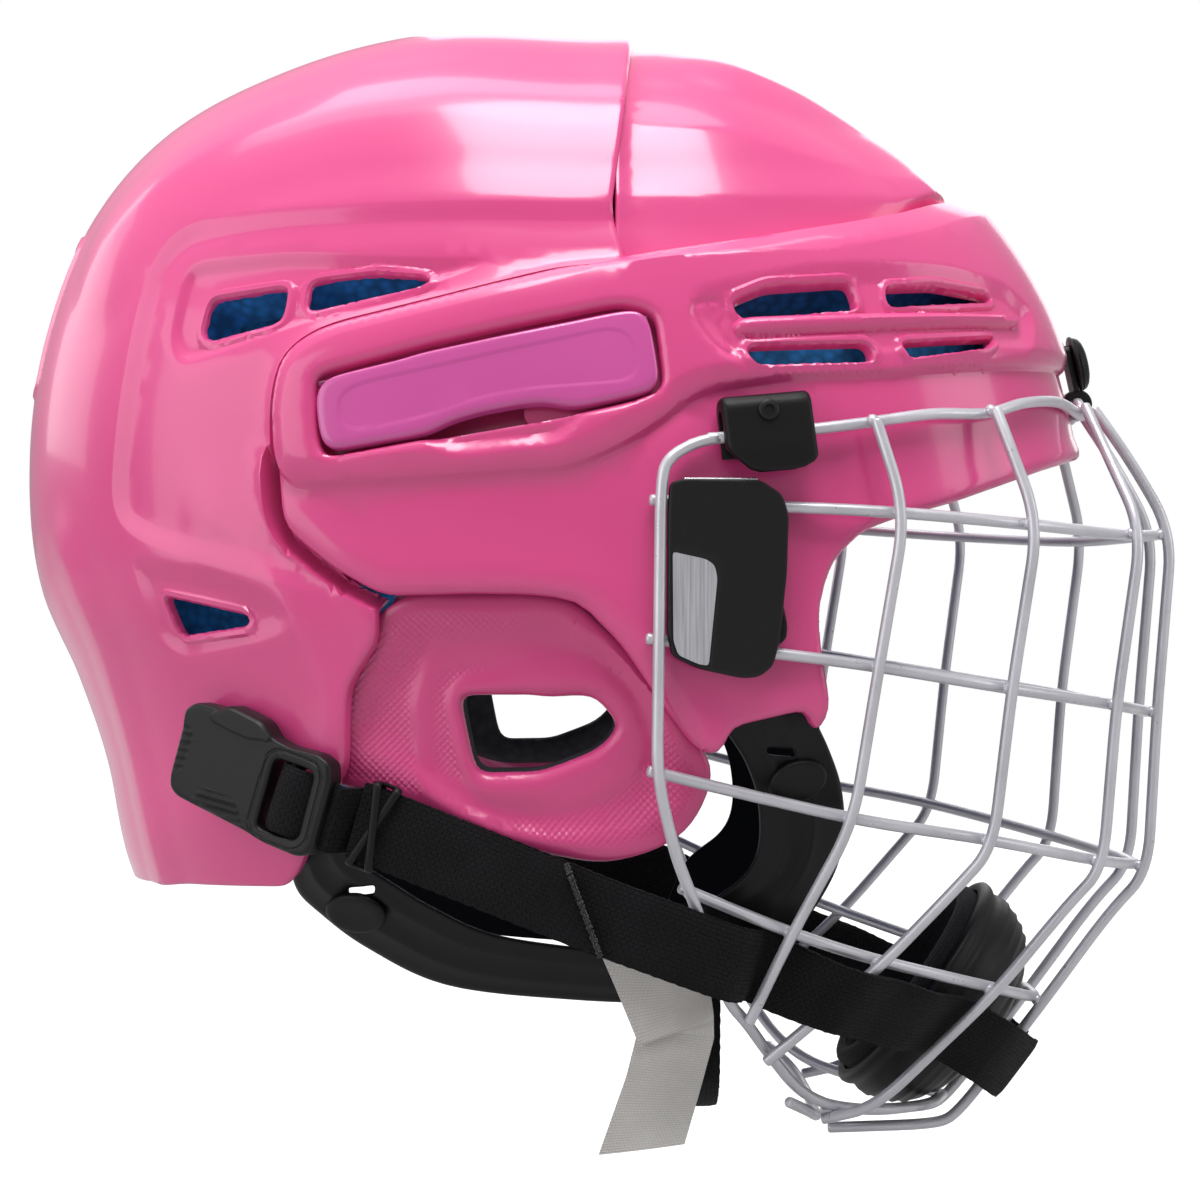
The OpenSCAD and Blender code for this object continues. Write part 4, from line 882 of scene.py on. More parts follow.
# Wires of the cage
# the wires' radius, how far the middles of two crossing wires are apart, and the radii of the bends of the rim and
# of the uprights
WIRE, WELD, RIM_BEND, BEND = 1.25, 2.7, 7, 9
hinge = np.array([0, -120.5, 77.8])
# bends of the wires on the right, as [x, y, z]
rim_top = [[-91.6, -31, 65.7], [-89.8, -43, 66.6], [-87.2, -55, 68]]
rim_side = [[-94.4, -23.5, 61.5], [-94.9, -22.5, 55.1], [-95.2, -22.1, 24.3], [-94.4, -21.7, -3.7],
    [-89.5, -25.3, -19.3], [-84.5, -28.8, -28.6], [-78, -33.5, -41]]
upright = [[[-85.6, -67.3, 70.2], [-88, -73.3, 50.8], [-86, -67.9, 18.3], [-82, -62.9, -14], [-74, -50.3, -38.5],
        [-69.8, -41.5, -57.5]],
    [[-69.2, -94, 73.4], [-76, -102.3, 48.9], [-72, -97.2, 13.5], [-69, -93.5, -20.2], [-68, -85.5, -29.2],
        [-63, -69.9, -46.2], [-60.3, -45.5, -67]],
    [[-27, -118.8, 76.3], [-47.5, -128.5, 47.8], [-46, -123.2, 9.5], [-44, -120.5, -26.4], [-43, -112.9, -34.6],
        [-41, -96.8, -54.5], [-37, -71, -80], [-37, -59, -82.6]],
    [[-10, -123.1, 76.5], [-12, -131.3, 64.5], [-13.6, -140.6, 48], [-13.6, -137.2, 6.9], [-13.6, -135.1, -29.6],
        [-13.6, -126.4, -38.7], [-13.6, -110.9, -59.7], [-13.3, -91.5, -85], [-13.3, -86.5, -87.2],
        [-13.3, -62, -88]]]
jaw = [[-72, -37, -52.5], [-66.9, -41.3, -57.6], [-57.7, -46, -64.9], [-47, -53, -74.5], [-37, -60.5, -79.6],
    [-27, -72, -82.2], [-14, -85.5, -82.6], [0, -89.5, -82.3]]
# the rim's side and the uprights, and the bend of each that each cross wire is welded to
columns = [np.array(p, float) for p in ([rim_top[0]] + rim_side + [jaw[0]], *upright)]
crossing = [[2, 3, 4, 6], [1, 2, 3, 4], [1, 2, 3, 5], [1, 2, 3, 5], [2, 3, 4, 6]]
chin_run = [[-49.3, -51.2, -77], [-37, -56.2, -80.8], [-20, -59, -84.2], [0, -59.5, -85.6]]


def corner(p, i, r):
    """The two ends of a bend."""
    a, b = p[i - 1] - p[i], p[i + 1] - p[i]
    la, lb = np.linalg.norm(a), np.linalg.norm(b)
    return p[i] + a / la * min(r, la * 0.45), p[i] + b / lb * min(r, lb * 0.45)


def bent(p, r, n=7):
    """Straight runs with rounded bends between them."""
    p = np.array(p, float)
    out = [p[0]]
    for i in range(1, len(p) - 1):
        a, b = corner(p, i, r)
        for k in range(n + 1):
            u = k / n
            out.append(a * (1 - u) ** 2 + p[i] * 2 * u * (1 - u) + b * u ** 2)
    out.append(p[-1])
    return np.array(out)


def knee(p, i, r):
    """Middle of a bend that is rounded by a curve."""
    a, b = corner(p, i, r)
    return (a + 2 * p[i] + b) / 4


def cut_corner(p, i, r):
    """Middle of the straight line across a bend."""
    a, b = corner(p, i, r)
    return (a + b) / 2


def smooth(p, n=6):
    """A curve through all the points."""
    p = np.array(p, float)
    out = []
    for i in range(len(p) - 1):
        a, b, c, d = p[max(i - 1, 0)], p[i], p[i + 1], p[min(i + 2, len(p) - 1)]
        for k in range(n):
            u = k / n
            out.append(b + (c - a) * u / 2 + (2 * a - 5 * b + 4 * c - d) * u ** 2 / 2
                       + (3 * b - a - 3 * c + d) * u ** 3 / 2)
    out.append(p[-1])
    return np.array(out)


def mirrored(p):
    """A line up to the middle plane, and on along its mirror image."""
    p = np.asarray(p, float)
    return np.vstack([p, p[:-1][::-1] * MIRROR])


def joint_point(i, j):
    """Where column i meets cross wire j."""
    at = cut_corner if i == 0 else knee
    return at(columns[i], crossing[i][j], BEND if i else RIM_BEND)


def inward(p, a, b):
    """The way across two directions that points into the cage."""
    n = unit(np.cross(a, b))
    return n if (np.array([0, -30, p[2]]) - p) @ n > 0 else -n


def bar_point(i, j):
    """The cross wire's middle there, on the inside of the column."""
    p = joint_point(i, j)
    c, k = columns[i], crossing[i][j]
    nxt = joint_point(i + 1, j) if i < 4 else p * MIRROR
    prev = joint_point(i - 1, j) if i > 0 else p
    return p + inward(p, nxt - prev, c[k + 1] - c[k - 1]) * WELD


def bar_line(j):
    """Middle line of a cross wire, led round the shell's side for the upper two."""
    p = [bar_point(i, j) for i in range(5)]
    off = []
    if j < 2:
        z = (p[0][2] + p[1][2]) / 2
        off = [on_dome(-46, z, BRIM + GAP + WIRE + 0.3)]
    end = p[0] + unit(p[0] - (off[0] if off else p[1])) * 2.2
    run = smooth([p[0]] + off + p[1:] + [[0, p[4][1] - 0.6, p[4][2]]], 7)
    return mirrored(np.vstack([end, run]))


def rim_under(i):
    """The rim's middle where it passes under the top of an upright."""
    p = columns[i + 1]
    a = columns[i + 2][0] - rim_top[2] if i < 3 else np.array([1.0, 0, 0])
    return p[0] + inward(p[0], a, p[1] - p[0]) * (WELD + 0.15)


rim_front = [hinge, hinge + [-5.5, 0.1, -0.05], rim_under(3), rim_under(2), [-42.8, -110.6, 76], [-57.6, -101.6, 75],
    rim_under(1), [-76.6, -79.6, 71.6], rim_under(0)]
rim_a = smooth(rim_front + rim_top[::-1], 6)
rim_b = bent([rim_top[1], rim_top[0]] + rim_side + jaw, RIM_BEND, 6)[1:]
rim_half = np.vstack([rim_a[:-1], rim_b])
rim_full = np.vstack([rim_half, rim_half[1:-1][::-1] * MIRROR])


def wire(name, path, *nodes, closed=False):
    o = loft_mesh(name, wire_rings(path, WIRE, 12, closed), wire_paint, closed=closed, angle=60)
    return put(o, "cage", "wire", *nodes)


wire("rim_wire", rim_full, "cage_rim", closed=True)
for j in range(4):
    wire("cross_wire_%d" % (j + 1), bar_line(j), "cage_bar_%d" % (j + 1))
wire("chin_wire", mirrored(smooth(chin_run, 6)), "chin_bar")
for i in range(4):
    for left, sd, k in SIDES:
        wire("upright_wire_%d_%s" % (i + 1, sd), bent(upright[i], BEND, 8) * k, "upright_%d_%s" % (i + 1, sd))


def nub(at, a, b, c, size):
    """Bead of a spot weld: ellipsoid with its axes along a, b and c."""
    m, n = 10, 6
    vs = [at + a * size[0] * math.sin(f) * math.cos(g) + b * size[1] * math.sin(f) * math.sin(g)
          + c * size[2] * math.cos(f) for f in PI * np.arange(n + 1) / n for g in 2 * PI * np.arange(m) / m]
    return np.array(vs), skin(n + 1, m, ends=False)


beads = []


def weld(p, q, along, size):
    """Beads on both sides of the cage, between the middles p and q of two wires."""
    c = unit(q - p)
    a = unit(np.cross(unit(along), c))
    for *_, k in SIDES:
        beads.append(nub((p + q) / 2 * k, a * k, np.cross(c, a) * k, c * k, size))


for j in range(4):
    for i in range(5):
        c, k = columns[i], crossing[i][j]
        weld(joint_point(i, j), bar_point(i, j), c[k + 1] - c[k - 1], (1.35, 1.35, 1.15))
for i in range(4):
    p, q = columns[i + 1][:2]
    weld(p, rim_under(i), q - p, (1.4, 1.4, 1.2))
put(joined("cage_weld_beads", beads, wire_paint, 60), "cage", "wire")

# Size levers and their pins
L_lever = line([[49.2, 74.5], [48.4, 77.4], [46.2, 79.0], [29.5, 83.0], [28.9, 83.5], [3, 89.1], [-14.1, 92.6],
    [-18.2, 93.0], [-20.2, 91.3], [-21.6, 84], [-22.5, 77.6], [-20.6, 75.9], [-14.1, 74.2], [-4.5, 72.2],
    [-1.6, 73.1], [2.5, 73.6], [14, 71.6], [21.8, 69.4], [24.6, 67.4], [26.5, 66.8], [44.2, 63.9], [46.9, 63.9],
    [48.2, 66.2]], BROW, step=0.9, round_=3)
L_field = line([[44, 68.5], [44.5, 75.2], [40.5, 77.2], [3, 85.6], [-13.4, 89.2], [-16.6, 87.3], [-18.4, 79.5],
    [-16, 77.6], [2, 76.6], [14, 74.6], [26, 70.4], [40, 67.4]], BROW, step=0.9, round_=5)


def lever_high(c, yz):
    d = -distance(c, L_lever)
    f = -distance(c, L_field)
    return BROW + 0.1 - edge_round(d, 0.9) - 0.2 * slope(f, -0.15, 0.15)


def level(h):
    """A face at one height."""
    return lambda c, yz: np.full(len(c), h)


for left, sd, k in SIDES:
    o = sheet_mesh("lever_moulding_" + sd, keep_out(L_lever), [L_lever],
        feature((L_lever, [-0.1, -0.25, -0.45, -0.7, -1.0, -1.6]), (L_field, [-0.4, -0.15, 0.15, 0.4])),
        lever_high, level(BROW - WALL), lever_pink, mirror=False, spacing=2.2, flipped=left)
    put(o, "lever_" + sd, "lever", "size_lever_" + sd)

# floor of the levers' recess, between the shell's wall and the foam
L_well = line([[6, 70], [6, 92.3], [-15, 96.4], [-24, 94], [-25.8, 73], [-14.2, 68]], BROW, step=1.2, round_=2)
for left, sd, k in SIDES:
    o = sheet_mesh("lever_well_" + sd, keep_out(L_well), [L_well], feature((L_well, [-0.3, -1.2])),
        level(BROW - WALL - 2.0), level(BROW - WALL - 3.0), pink, mirror=False, spacing=3, flipped=left)
    put(o, "shell", "shell")

# Ear guards
L_ear = line([[29.4, 34.5], [-2.7, 34.5], [-15, 23.5], [-27, 8.5], [-34.5, -2.8], [-33, -8], [-28.7, -16.4],
    [-20.4, -20.8], [-10, -23], [10, -18.5], [30, -10.5], [46, -6.5], [48.5, -3], [48.5, 14], [42, 26]],
    -0.7, step=1.2, round_=5)
L_hole = line([[19.5, 11.5], [18, 12.6], [-9, 12.6], [-14.4, 6], [-10, 1], [2.5, -3.7], [15, -4.2], [16.4, -3]],
    -3.0, step=0.8, round_=3)
G_STEPS = np.array([[0, 1], [0.5, 1], [0.62, 0.82], [0.7, 0.3], [0.78, 0.05], [1, 0.18]])
L_ring = line([[28.7, 11.1], [24.5, 21.8], [0, 22.6], [-9.4, 19], [-21, 6.5], [-17.5, -2.5], [-4, -9.5],
    [16, -10.8], [26.5, -6.5]], -0.7, step=1.0, round_=8)


def ear_form(c):
    """Distances from the ear opening and the guard's edge, and the height of the guard between them."""
    dh, do = distance(c, L_hole), -distance(c, L_ear)
    f = np.clip(dh / np.maximum(dh + do, 1e-6), 0, 1)
    return dh, do, -0.7 - 2.6 * np.interp(f, G_STEPS[:, 0], G_STEPS[:, 1])


def ear_high(c, yz):
    dh, do, h = ear_form(c)
    h += 0.5 * (ramp(dh, 0.0, 0.9) - ramp(dh, 1.4, 3.2))
    h += 0.55 * tent(distance(c, L_ring), 2.6)
    h -= edge_round(dh, 0.8) + edge_round(do, 1.0)
    return h


def ear_low(c, yz):
    return ear_form(c)[2] - 2.4


def ear_plain(c, yz):
    """Where the guard has no dots: round its opening, its edge and its ridge."""
    dh, do = distance(c, L_hole), -distance(c, L_ear)
    r = distance(c, L_ring)
    return np.clip(1 - ramp(dh, 2.2, 3.2) + (1 - ramp(do, 1.6, 2.6)) + (1 - ramp(np.abs(r), 1.6, 2.8)), 0, 1)


# inner face of the ring of painted shade inside the ear opening
def shade_ring_low(c, yz):
    dh, dr = distance(c, L_hole), -distance(c, L_ring)
    return ear_low(c, yz) - 5.5 + edge_round(np.minimum(dh, dr), 2.0)


for left, sd, k in SIDES:
    o = sheet_mesh("ear_guard_moulding_" + sd, keep_out(L_ear, [L_hole]), [L_ear, L_hole],
        feature((L_ear, STEP_IN + [-1.8, -2.6]), (L_hole, [0.12, 0.3, 0.6, 0.95, 1.5, 2.3, 3.2]),
                (L_ring, [-2.4, -1.2, -0.4, 0.4, 1.2, 2.4])),
        ear_high, ear_low, pink_dots, mirror=False, spacing=2.0, flipped=left, plain=ear_plain)
    put(o, "shell", "shell", "ear_guard_" + sd)
    # dark foam-textured ring on its inside, round the ear opening: painted shade, so that the opening looks dark
    # inside
    o = sheet_mesh("ear_guard_shade_ring_" + sd, keep_out(L_ring, [L_hole]), [L_ring, L_hole],
        feature((L_ring, [-0.4, -1.2, -2.4]), (L_hole, [0.4, 1.2, 2.4])), lambda c, yz: ear_low(c, yz) + 0.3,
        shade_ring_low, painted_shade_foam, mirror=False, spacing=2.4, flipped=left)
    put(o, "shell", "pad")


# Foam liners
def cut_line(x, y):
    """Chart line from distances x to the side and y forward or back, over the top of the dome."""
    t = np.arcsin(np.clip((np.abs(x) / DOME_W) ** (FULL / 2), 0, 1))
    c = np.cos(t) ** (2 / FULL)
    th = np.full_like(y, PI / 2)
    for _ in range(60):
        th = 0.5 * th + 0.5 * np.arccos(np.clip(y / (radius(np.degrees(th)) * c), -1, 1))
    return polar(1 - t * 2 / PI, th)


# front liner: its outline, its cuts, and the tongue that reaches under the rear shell
L_fl = line([[-2, 185], [-2, 44], [-56, 44], [-66, 51], [-88, 58], [-110, 66], [-140, 76], [-185, 90],
    [-185, 185]], -WALL, step=1.8, round_=3)
fl_cuts = [line(grow_box(v, 1), 0, step=1.2, round_=3) for v in vents[:2]]
fl_cuts.append(cut_line(*stadium(34, -95, -45, 5, 1.5).T))
L_tongue = line([[-24, 190], [10, 190], [10, 110], [-24, 110]], 0, step=2)


def fl_high(c, yz):
    """Outer face of the front liner."""
    h = -WALL - SEAT - 2.5 * ramp(-distance(c, L_tongue), -1, 0.3)
    d = -distance(c, L_fl)
    for q in fl_cuts:
        h -= edge_round(distance(c, q), 1.0)
    return h - edge_round(d, 1.6)


def fl_low(c, yz, side=False):
    """Its inner face."""
    d = -distance(c, L_fl)
    h = -WALL - SEAT - (FOAM_SIDE if side else FOAM) + edge_round(d, 3.2)
    for q in fl_cuts:
        h += edge_round(distance(c, q), 1.6)
    return h


def liner(name, outline, cuts, more, high, low):
    beside = feature((outline, [-0.4, -1.0, -1.8, -2.6, -3.4]), *[(q, [0.3, 0.8, 1.4, 2.0]) for q in cuts])
    return sheet_mesh(name, keep_out(outline, cuts), [outline, *cuts],
        np.vstack([cleared(beside, outline, cuts, 0.15, 0.15), *more]), high, low, blue_foam, spacing=4.5,
        low_side=lambda c, yz: low(c, yz, True))


put(liner("front_foam_liner", L_fl, fl_cuts, [], fl_high, fl_low), "shell", "foam", "front_liner")

# rear liner
L_rl = line([[2.4, 190], [2.4, 44], [38, 44], [48, 32], [50, 4], [58, -25], [190, -25], [190, 190]],
    0, step=1.8, round_=3)
rl_cuts = [line(grow_box(v, 1.2), 0, step=1.2, round_=3) for v in rear_vents]
rl_cuts.append(cut_line(*stadium(34, 22, 70, 5, 1.5).T))


def rl_high(c, yz):
    """Outer face of the rear liner."""
    s = clear_of(c)
    h = GAP - SEAT - (WALL + WING + GAP) * (1 - ramp(s, 3.2, 5.0)) * ramp(yz[:, 1], 35, 37)
    for q in rl_cuts:
        h -= edge_round(distance(c, q), 1.0)
    return h - edge_round(-distance(c, L_rl), 1.6)


def rl_low(c, yz, side=False):
    """Its inner face."""
    h = GAP - SEAT - (FOAM_SIDE if side else FOAM) + edge_round(-distance(c, L_rl), 3.2)
    for q in rl_cuts:
        h += edge_round(distance(c, q), 1.6)
    return h


put(liner("rear_foam_liner", L_rl, rl_cuts, [feature((L_arm, [2.2, 3.2, 4.0]))], rl_high, rl_low), "rear", "foam",
    "rear_liner")


# Comfort pads
def pillow(name, base, deep, mat, nu, nv, size, body, node, tufts=(), rim=0.8):
    """Stuffed pad: its back lies on base(u, v), and its face swells from a stitched rim."""
    uu, vv = np.meshgrid(np.linspace(-1, 1, nu), np.linspace(-1, 1, nv), indexing="ij")
    k = 0.12  # how far the corners are drawn in to a rounded plan
    su = np.sign(uu) * (1 - (1 - np.abs(uu)) ** 1.35)
    sv = np.sign(vv) * (1 - (1 - np.abs(vv)) ** 1.35)
    pu = su * (1 - k * sv ** 6)
    pv = sv * (1 - k * 1.4 * su ** 6)
    b = base(pu.ravel(), pv.ravel()).reshape(nu, nv, 3)
    du = np.gradient(b, axis=0)
    dv = np.gradient(b, axis=1)
    n = unit(np.cross(du, dv))
    n *= np.where((([0, 0, 40.0] - b) * n).sum(-1) > 0, 1, -1)[..., None]
    edge = np.clip((1 - np.abs(su) ** 6) * (1 - np.abs(sv) ** 4), 0, 1)
    h = deep * edge ** 0.42
    ripple = 0.16 * np.sin(uu * 61 + vv * 5) * (1 - edge) + 0.1 * np.sin(vv * 37 + uu * 9) * (1 - edge)
    h = h + ripple * deep * 0.35
    for tu, tv, w in tufts:
        g = np.exp(-(((uu - tu) * size[0] / 2) ** 2 + ((vv - tv) * size[1] / 2) ** 2) / w ** 2)
        h -= g * deep * 0.45
    face = b + n * (h + rim)[..., None]
    back = b + n * 0.05
    pts = np.vstack([face.reshape(-1, 3), back.reshape(-1, 3)])
    m = nu * nv
    idx = np.arange(m).reshape(nu, nv)
    faces = []
    for i in range(nu - 1):
        for j in range(nv - 1):
            q = (idx[i, j], idx[i + 1, j], idx[i + 1, j + 1], idx[i, j + 1])
            faces.append(q)
            faces.append(tuple(t + m for t in q[::-1]))
    ring = [idx[i, 0] for i in range(nu)] + [idx[-1, j] for j in range(1, nv)] \
        + [idx[i, -1] for i in range(nu - 2, -1, -1)] + [idx[0, j] for j in range(nv - 2, 0, -1)]
    for a, c in zip(ring, ring[1:] + ring[:1]):
        faces.append((c, a, a + m, c + m))
    uv = np.stack([uu.ravel() * size[0] / 2, vv.ravel() * size[1] / 2], -1)
    o = put(outward(mesh_object(name, pts, faces, mat, np.vstack([uv, uv]), 60)), body, "pad", *node)


def inside_from(x, z, top, side, way):
    c = (1 - (np.abs(x) / (DOME_W + side)) ** FULL) ** (1 / FULL)
    y = np.full_like(x, way * 90.0)
    for _ in range(6):
        r = (radius(np.degrees(np.arctan2(z - CZ, y))) + top) * c
        y = way * np.sqrt(np.maximum(1, r ** 2 - (z - CZ) ** 2))
    return np.stack([x, y, z], -1)


def band_pad(low, high, rear):
    back = 0 if rear else -WALL - GAP
    t, w = back - FOAM - PAD_IN, back - FOAM_SIDE - PAD_IN
    return lambda u, v: inside_from(53.5 * u, (low + high) / 2 + v * (high - low) / 2, t, w, 1 if rear else -1)


pillow("brow_cushion", band_pad(64.3, 79.7, False), 4.0, dark_pad, 65, 17, (120, 16), "shell", ["brow_pad"],
    [(-0.6, 0, 3), (-0.2, 0, 3), (0.2, 0, 3), (0.6, 0, 3)])
pillow("occipital_cushion", band_pad(4.3, 25.7, True), 4.0, dark_pad, 65, 21, (120, 22), "rear", ["occipital_pad"],
    [(-0.5, 0, 3.4), (0, 0, 3.4), (0.5, 0, 3.4)])


def crown_base(u, v):
    x, y = 21.5 * u, -30 + 21.5 * v
    k = (1 - (np.abs(x) / (DOME_W - 2 * WALL - FOAM_SIDE)) ** FULL) ** (1 / FULL)
    r = (radius(np.degrees(np.arctan2(110.0, y))) - 2 * WALL - FOAM - 1.5) * k
    return np.stack([x, y, CZ + np.sqrt(r ** 2 - y ** 2)], -1)


pillow("crown_cushion", crown_base, 4.0, dark_pad, 29, 29, (44, 44), "shell", ["crown_pad"],
    [(-0.4, 0, 3.4), (0.4, 0, 3.4)])
TEMPLE_RISE = -WALL - FOAM_SIDE - PAD_IN - GAP
for left, sd, k in SIDES:
    pillow("temple_cushion_" + sd, lambda u, v: on_dome(-25 + 18.5 * u, 61 + 10.7 * v, TEMPLE_RISE) * k, 4.0,
        dark_pad, 29, 19, (38, 22), "shell", ["temple_pad_" + sd], [(0, 0, 3.2)])

# Moulded ear loops and their buttons
LEAN = 0.28
F_TOP = BRIM - WALL - 2 * GAP
R_TOP = LIP - WALL - GAP
R_LEAN = (R_TOP - F_TOP + LEAN * (8 + 48) - 2.6 - GAP) / (-16 + 48)
loop_front = [[[-35.8, 12], [-55, 14]], [[-36, 5.9], [-54.2, 9.6]], [[-40.1, -0.8], [-58.1, 1.1]], [[-43, -9],
    [-61, -7.3]],
    [[-43.5, -19], [-61.8, -17.5]], [[-40.5, -26], [-59.5, -27]], [[-32, -33], [-52, -39]], [[-27, -43],
    [-39.5, -53]]]
loop_rear = [[[44.5, -16], [56, -20]], [[41, -22], [55, -29]], [[34, -27], [50, -34.5]], [[25, -32.6], [40, -42]],
    [[12, -38.4], [23, -50]], [[-10, -41.8], [-4, -53]], [[-24, -44], [-24, -54]], [[-33, -45.5], [-34, -54]]]


def leaning(lean, top):
    return lambda yz, h: on_dome(yz[:, 0], yz[:, 1], h - lean * np.maximum(0, top - yz[:, 1]))


def moulded_loop(name, stations, rise, lean, top, ribs, slot_at, node, body):
    """Loop between two edges, given as pairs of points, with ribs at parts of its width and a slot."""
    a, b = smooth([q[0] for q in stations], 6), smooth([q[1] for q in stations], 6)
    outline = flat_line(np.vstack([a, b[::-1]]), True, 2, 0.8)
    rib_lines = [flat_line(a * (1 - f) + b * f, False, 1, 0.9)[4:-4] for f in ribs]
    cut = flat_line(slot_at, True, 2, 0.5)

    def high(c, yz):
        d = -distance(c, outline)
        h = rise + 0.2 - edge_round(d, 1.0)
        for q in rib_lines:
            h += 0.9 * tent(distance(c, q, False), 2.0) * ramp(d, 0.4, 1.4)
        return h - edge_round(distance(c, cut), 0.5)

    extra = feature(*[(q, [-1.4, -0.5, 0, 0.5, 1.4], False) for q in rib_lines], (outline, [-1.6, -2.4]))
    extra = cleared(extra, outline, [cut], 0.5, 0.3)
    for left, sd, k in SIDES:
        o = slab(name + "_" + sd, outline, [cut], high, level(rise - 2.6), leaning(lean, top), black_soft, extra,
            2.4, left)
        put(o, body, "rubber", node + "_" + sd)


moulded_loop("front_ear_loop", loop_front, F_TOP, LEAN, 8, (0.3, 0.62),
    [[-44.6, 1.8], [-50.8, 1.2], [-50.6, -0.4], [-44.8, 0.2]], "front_loop", "shell")
moulded_loop("rear_ear_loop", loop_rear, R_TOP, R_LEAN, -16, (0.28, 0.66),
    [[37.4, -27.6], [43.4, -28.4], [43.2, -30.4], [37.6, -29.6]], "rear_loop", "rear")


def facing(p, rise, lean, top):
    """The place of a side-view point on a leaning face, and the way that it faces."""
    def q(y, z):
        return leaning(lean, top)(np.array([[y, z]], float), np.array([rise], float))[0]
    a = q(p[0] + 4, p[1]) - q(p[0] - 4, p[1])
    b = q(p[0], p[1] + 4) - q(p[0], p[1] - 4)
    n = unit(np.cross(a, b))
    return q(*p), n if n[0] < 0 else -n


def pair(name, piece, mat, body, slot, node, angle=40):
    """One object of a piece and its mirror image."""
    v, f = piece
    return put(joined(name, [(v, f), (v * MIRROR, [t[::-1] for t in f])], mat, angle), body, slot, node)


def button(p, rise, lean, top, long, wide, tilt):
    """Oval push-in button with a rounded edge and a shallow dish."""
    at, n = facing(p, rise, lean, top)
    along = np.array([0, math.cos(tilt), math.sin(tilt)])
    u = unit(along - n * (n @ along))
    v = np.cross(n, u)
    prof = [(0.80, -0.4), (0.88, 0.5), (1.0, 0.9), (1.03, 1.5), (1.0, 2.0), (0.93, 2.35), (0.8, 2.5), (0.55, 2.35),
        (0.25, 2.25), (0.02, 2.25)]
    g = np.arange(40)[:, None] * 2 * PI / 40
    oval = u * np.cos(g) * long / 2 + v * np.sin(g) * wide / 2
    return np.vstack([at + n * h + oval * k for k, h in prof]), skin(len(prof), 40)


for name, p, args, body in (("front_loop_buttons", (-51, -5), (F_TOP, LEAN, 8, 12.5, 9.2, -0.25), "shell"),
                            ("rear_loop_buttons", (41.3, -33), (R_TOP, R_LEAN, -16, 13.5, 10, -0.3), "rear")):
    pair(name[:-1] + "_caps", button(p, *args), black_soft, body, "rubber", name, 50)


# Webbing
def ribbon(name, path, face, w, t, body, frill, cut=0.0, node=()):
    """Webbing along a path: a flat band with rounded, slightly uneven selvedges."""
    src = np.asarray(path, float)
    p = resample(src, 1.2, False)
    d = np.concatenate([[0], np.cumsum(np.linalg.norm(np.diff(src, axis=0), axis=1))])
    s = np.linspace(0, d[-1], len(p))
    fc = unit(np.stack([np.interp(s, d, np.asarray(face, float)[:, k]) for k in range(3)], -1))
    tt = unit(np.gradient(p, axis=0))
    u = unit(fc - tt * (fc * tt).sum(1)[:, None])
    v = np.cross(tt, u)
    prof = [(k, 0.5 * (1 - abs(k) ** 8 * 0.45)) for k in np.linspace(-1, 1, 11)]
    prof = np.array(prof + [(-a, -b) for a, b in prof])
    rings, uvs = [], []
    for i in range(len(p)):
        wob = frill * math.sin(s[i] * 2.1) + frill * 0.6 * math.sin(s[i] * 5.3)
        a = prof[:, 0] * (w / 2 + wob)
        b = prof[:, 1] * t
        slant = a * cut * max(0, 1 - (s[-1] - s[i]) / (w * abs(cut) + 8)) if cut else 0 * a
        rings.append(p[i] + v[i] * a[:, None] + u[i] * b[:, None] + tt[i] * slant[:, None])
        uvs.append(np.stack([np.full(len(a), s[i]), prof[:, 0] * w / 2], -1))
    return put(loft_mesh(name, rings, webbing, uv=uvs, angle=50), body, "webbing", *node)


strap_run = np.array([[-87, 40.6, -13, -1, 0, 0], [-87.3, 36.6, -14.4, -1, 0, 0],
    [-88.6, 10.7, -24.6, -1, 0, -0.05], [-88, -10, -32.9, -1, -0.1, -0.1],
    [-87, -22.8, -37.7, -0.95, -0.3, -0.13], [-81.1, -36.2, -43.1, -0.77, -0.63, -0.13],
    [-75.8, -40.6, -44.6, -0.75, -0.65, -0.2], [-70.2, -43.6, -45.2, -0.77, -0.55, -0.3],
    [-67.4, -49.1, -48, -0.87, -0.4, -0.36], [-66.7, -55.8, -50.9, -0.9, -0.3, -0.42],
    [-66, -62.8, -53.5, -0.87, -0.23, -0.46], [-58, -70.5, -56, -0.75, -0.45, -0.5],
    [-49, -79, -59.5, -0.62, -0.55, -0.58], [-37, -86.5, -61.8, -0.57, -0.53, -0.62],
    [-27, -98, -69, -0.3, -0.7, -0.63], [-13.6, -104.4, -74.2, 0, -0.8, -0.6], [-8, -105.6, -74.8, 0, -0.8, -0.6]])
run = smooth(strap_run, 5)
back = run[:15]
for left, sd, k in SIDES:
    ribbon("cage_webbing_" + sd, run[:, :3] * k, run[:, 3:] * k, 16, 1.7, "cage", 0.08, node=["cage_strap_" + sd])
    # the end that comes back through the buckle and is sewn down
    out = back[:, :3] + unit(back[:, 3:]) * (1.7 + 0.35 * (np.arange(15)[:, None] / 14) ** 2)
    o = ribbon("webbing_return_" + sd, out * k, back[:, 3:] * k, 15.8, 1.5, "cage", 0.14, -0.9 if left else 0.9)
    # its cut end, melted and a little frayed
    last = resample(np.array([o.data.vertices[i - 22].co for i in range(11)]) / MM, 0.5, False)
    q = np.arange(len(last))
    last[:, 0] -= (0.1 + 0.12 * np.sin(q * 2.3)) * k[0]
    last[:, 2] += 0.18 * np.sin(q * 1.7) + 0.1 * np.sin(q * 4.1)
    rg = np.array(wire_rings(last, 0.62, 10))
    mid = rg.mean(1, keepdims=True)
    rg = mid + (rg - mid) * (1 + 0.28 * np.sin(np.arange(len(rg)) * 2.9))[:, None, None]
    uv = np.stack(np.meshgrid(np.arange(len(rg)) * 0.5, np.arange(10) * 0.4, indexing="ij"), -1)
    put(loft_mesh("webbing_cut_edge_" + sd, rg, frayed, uv=uv, angle=60), "cage", "webbing")

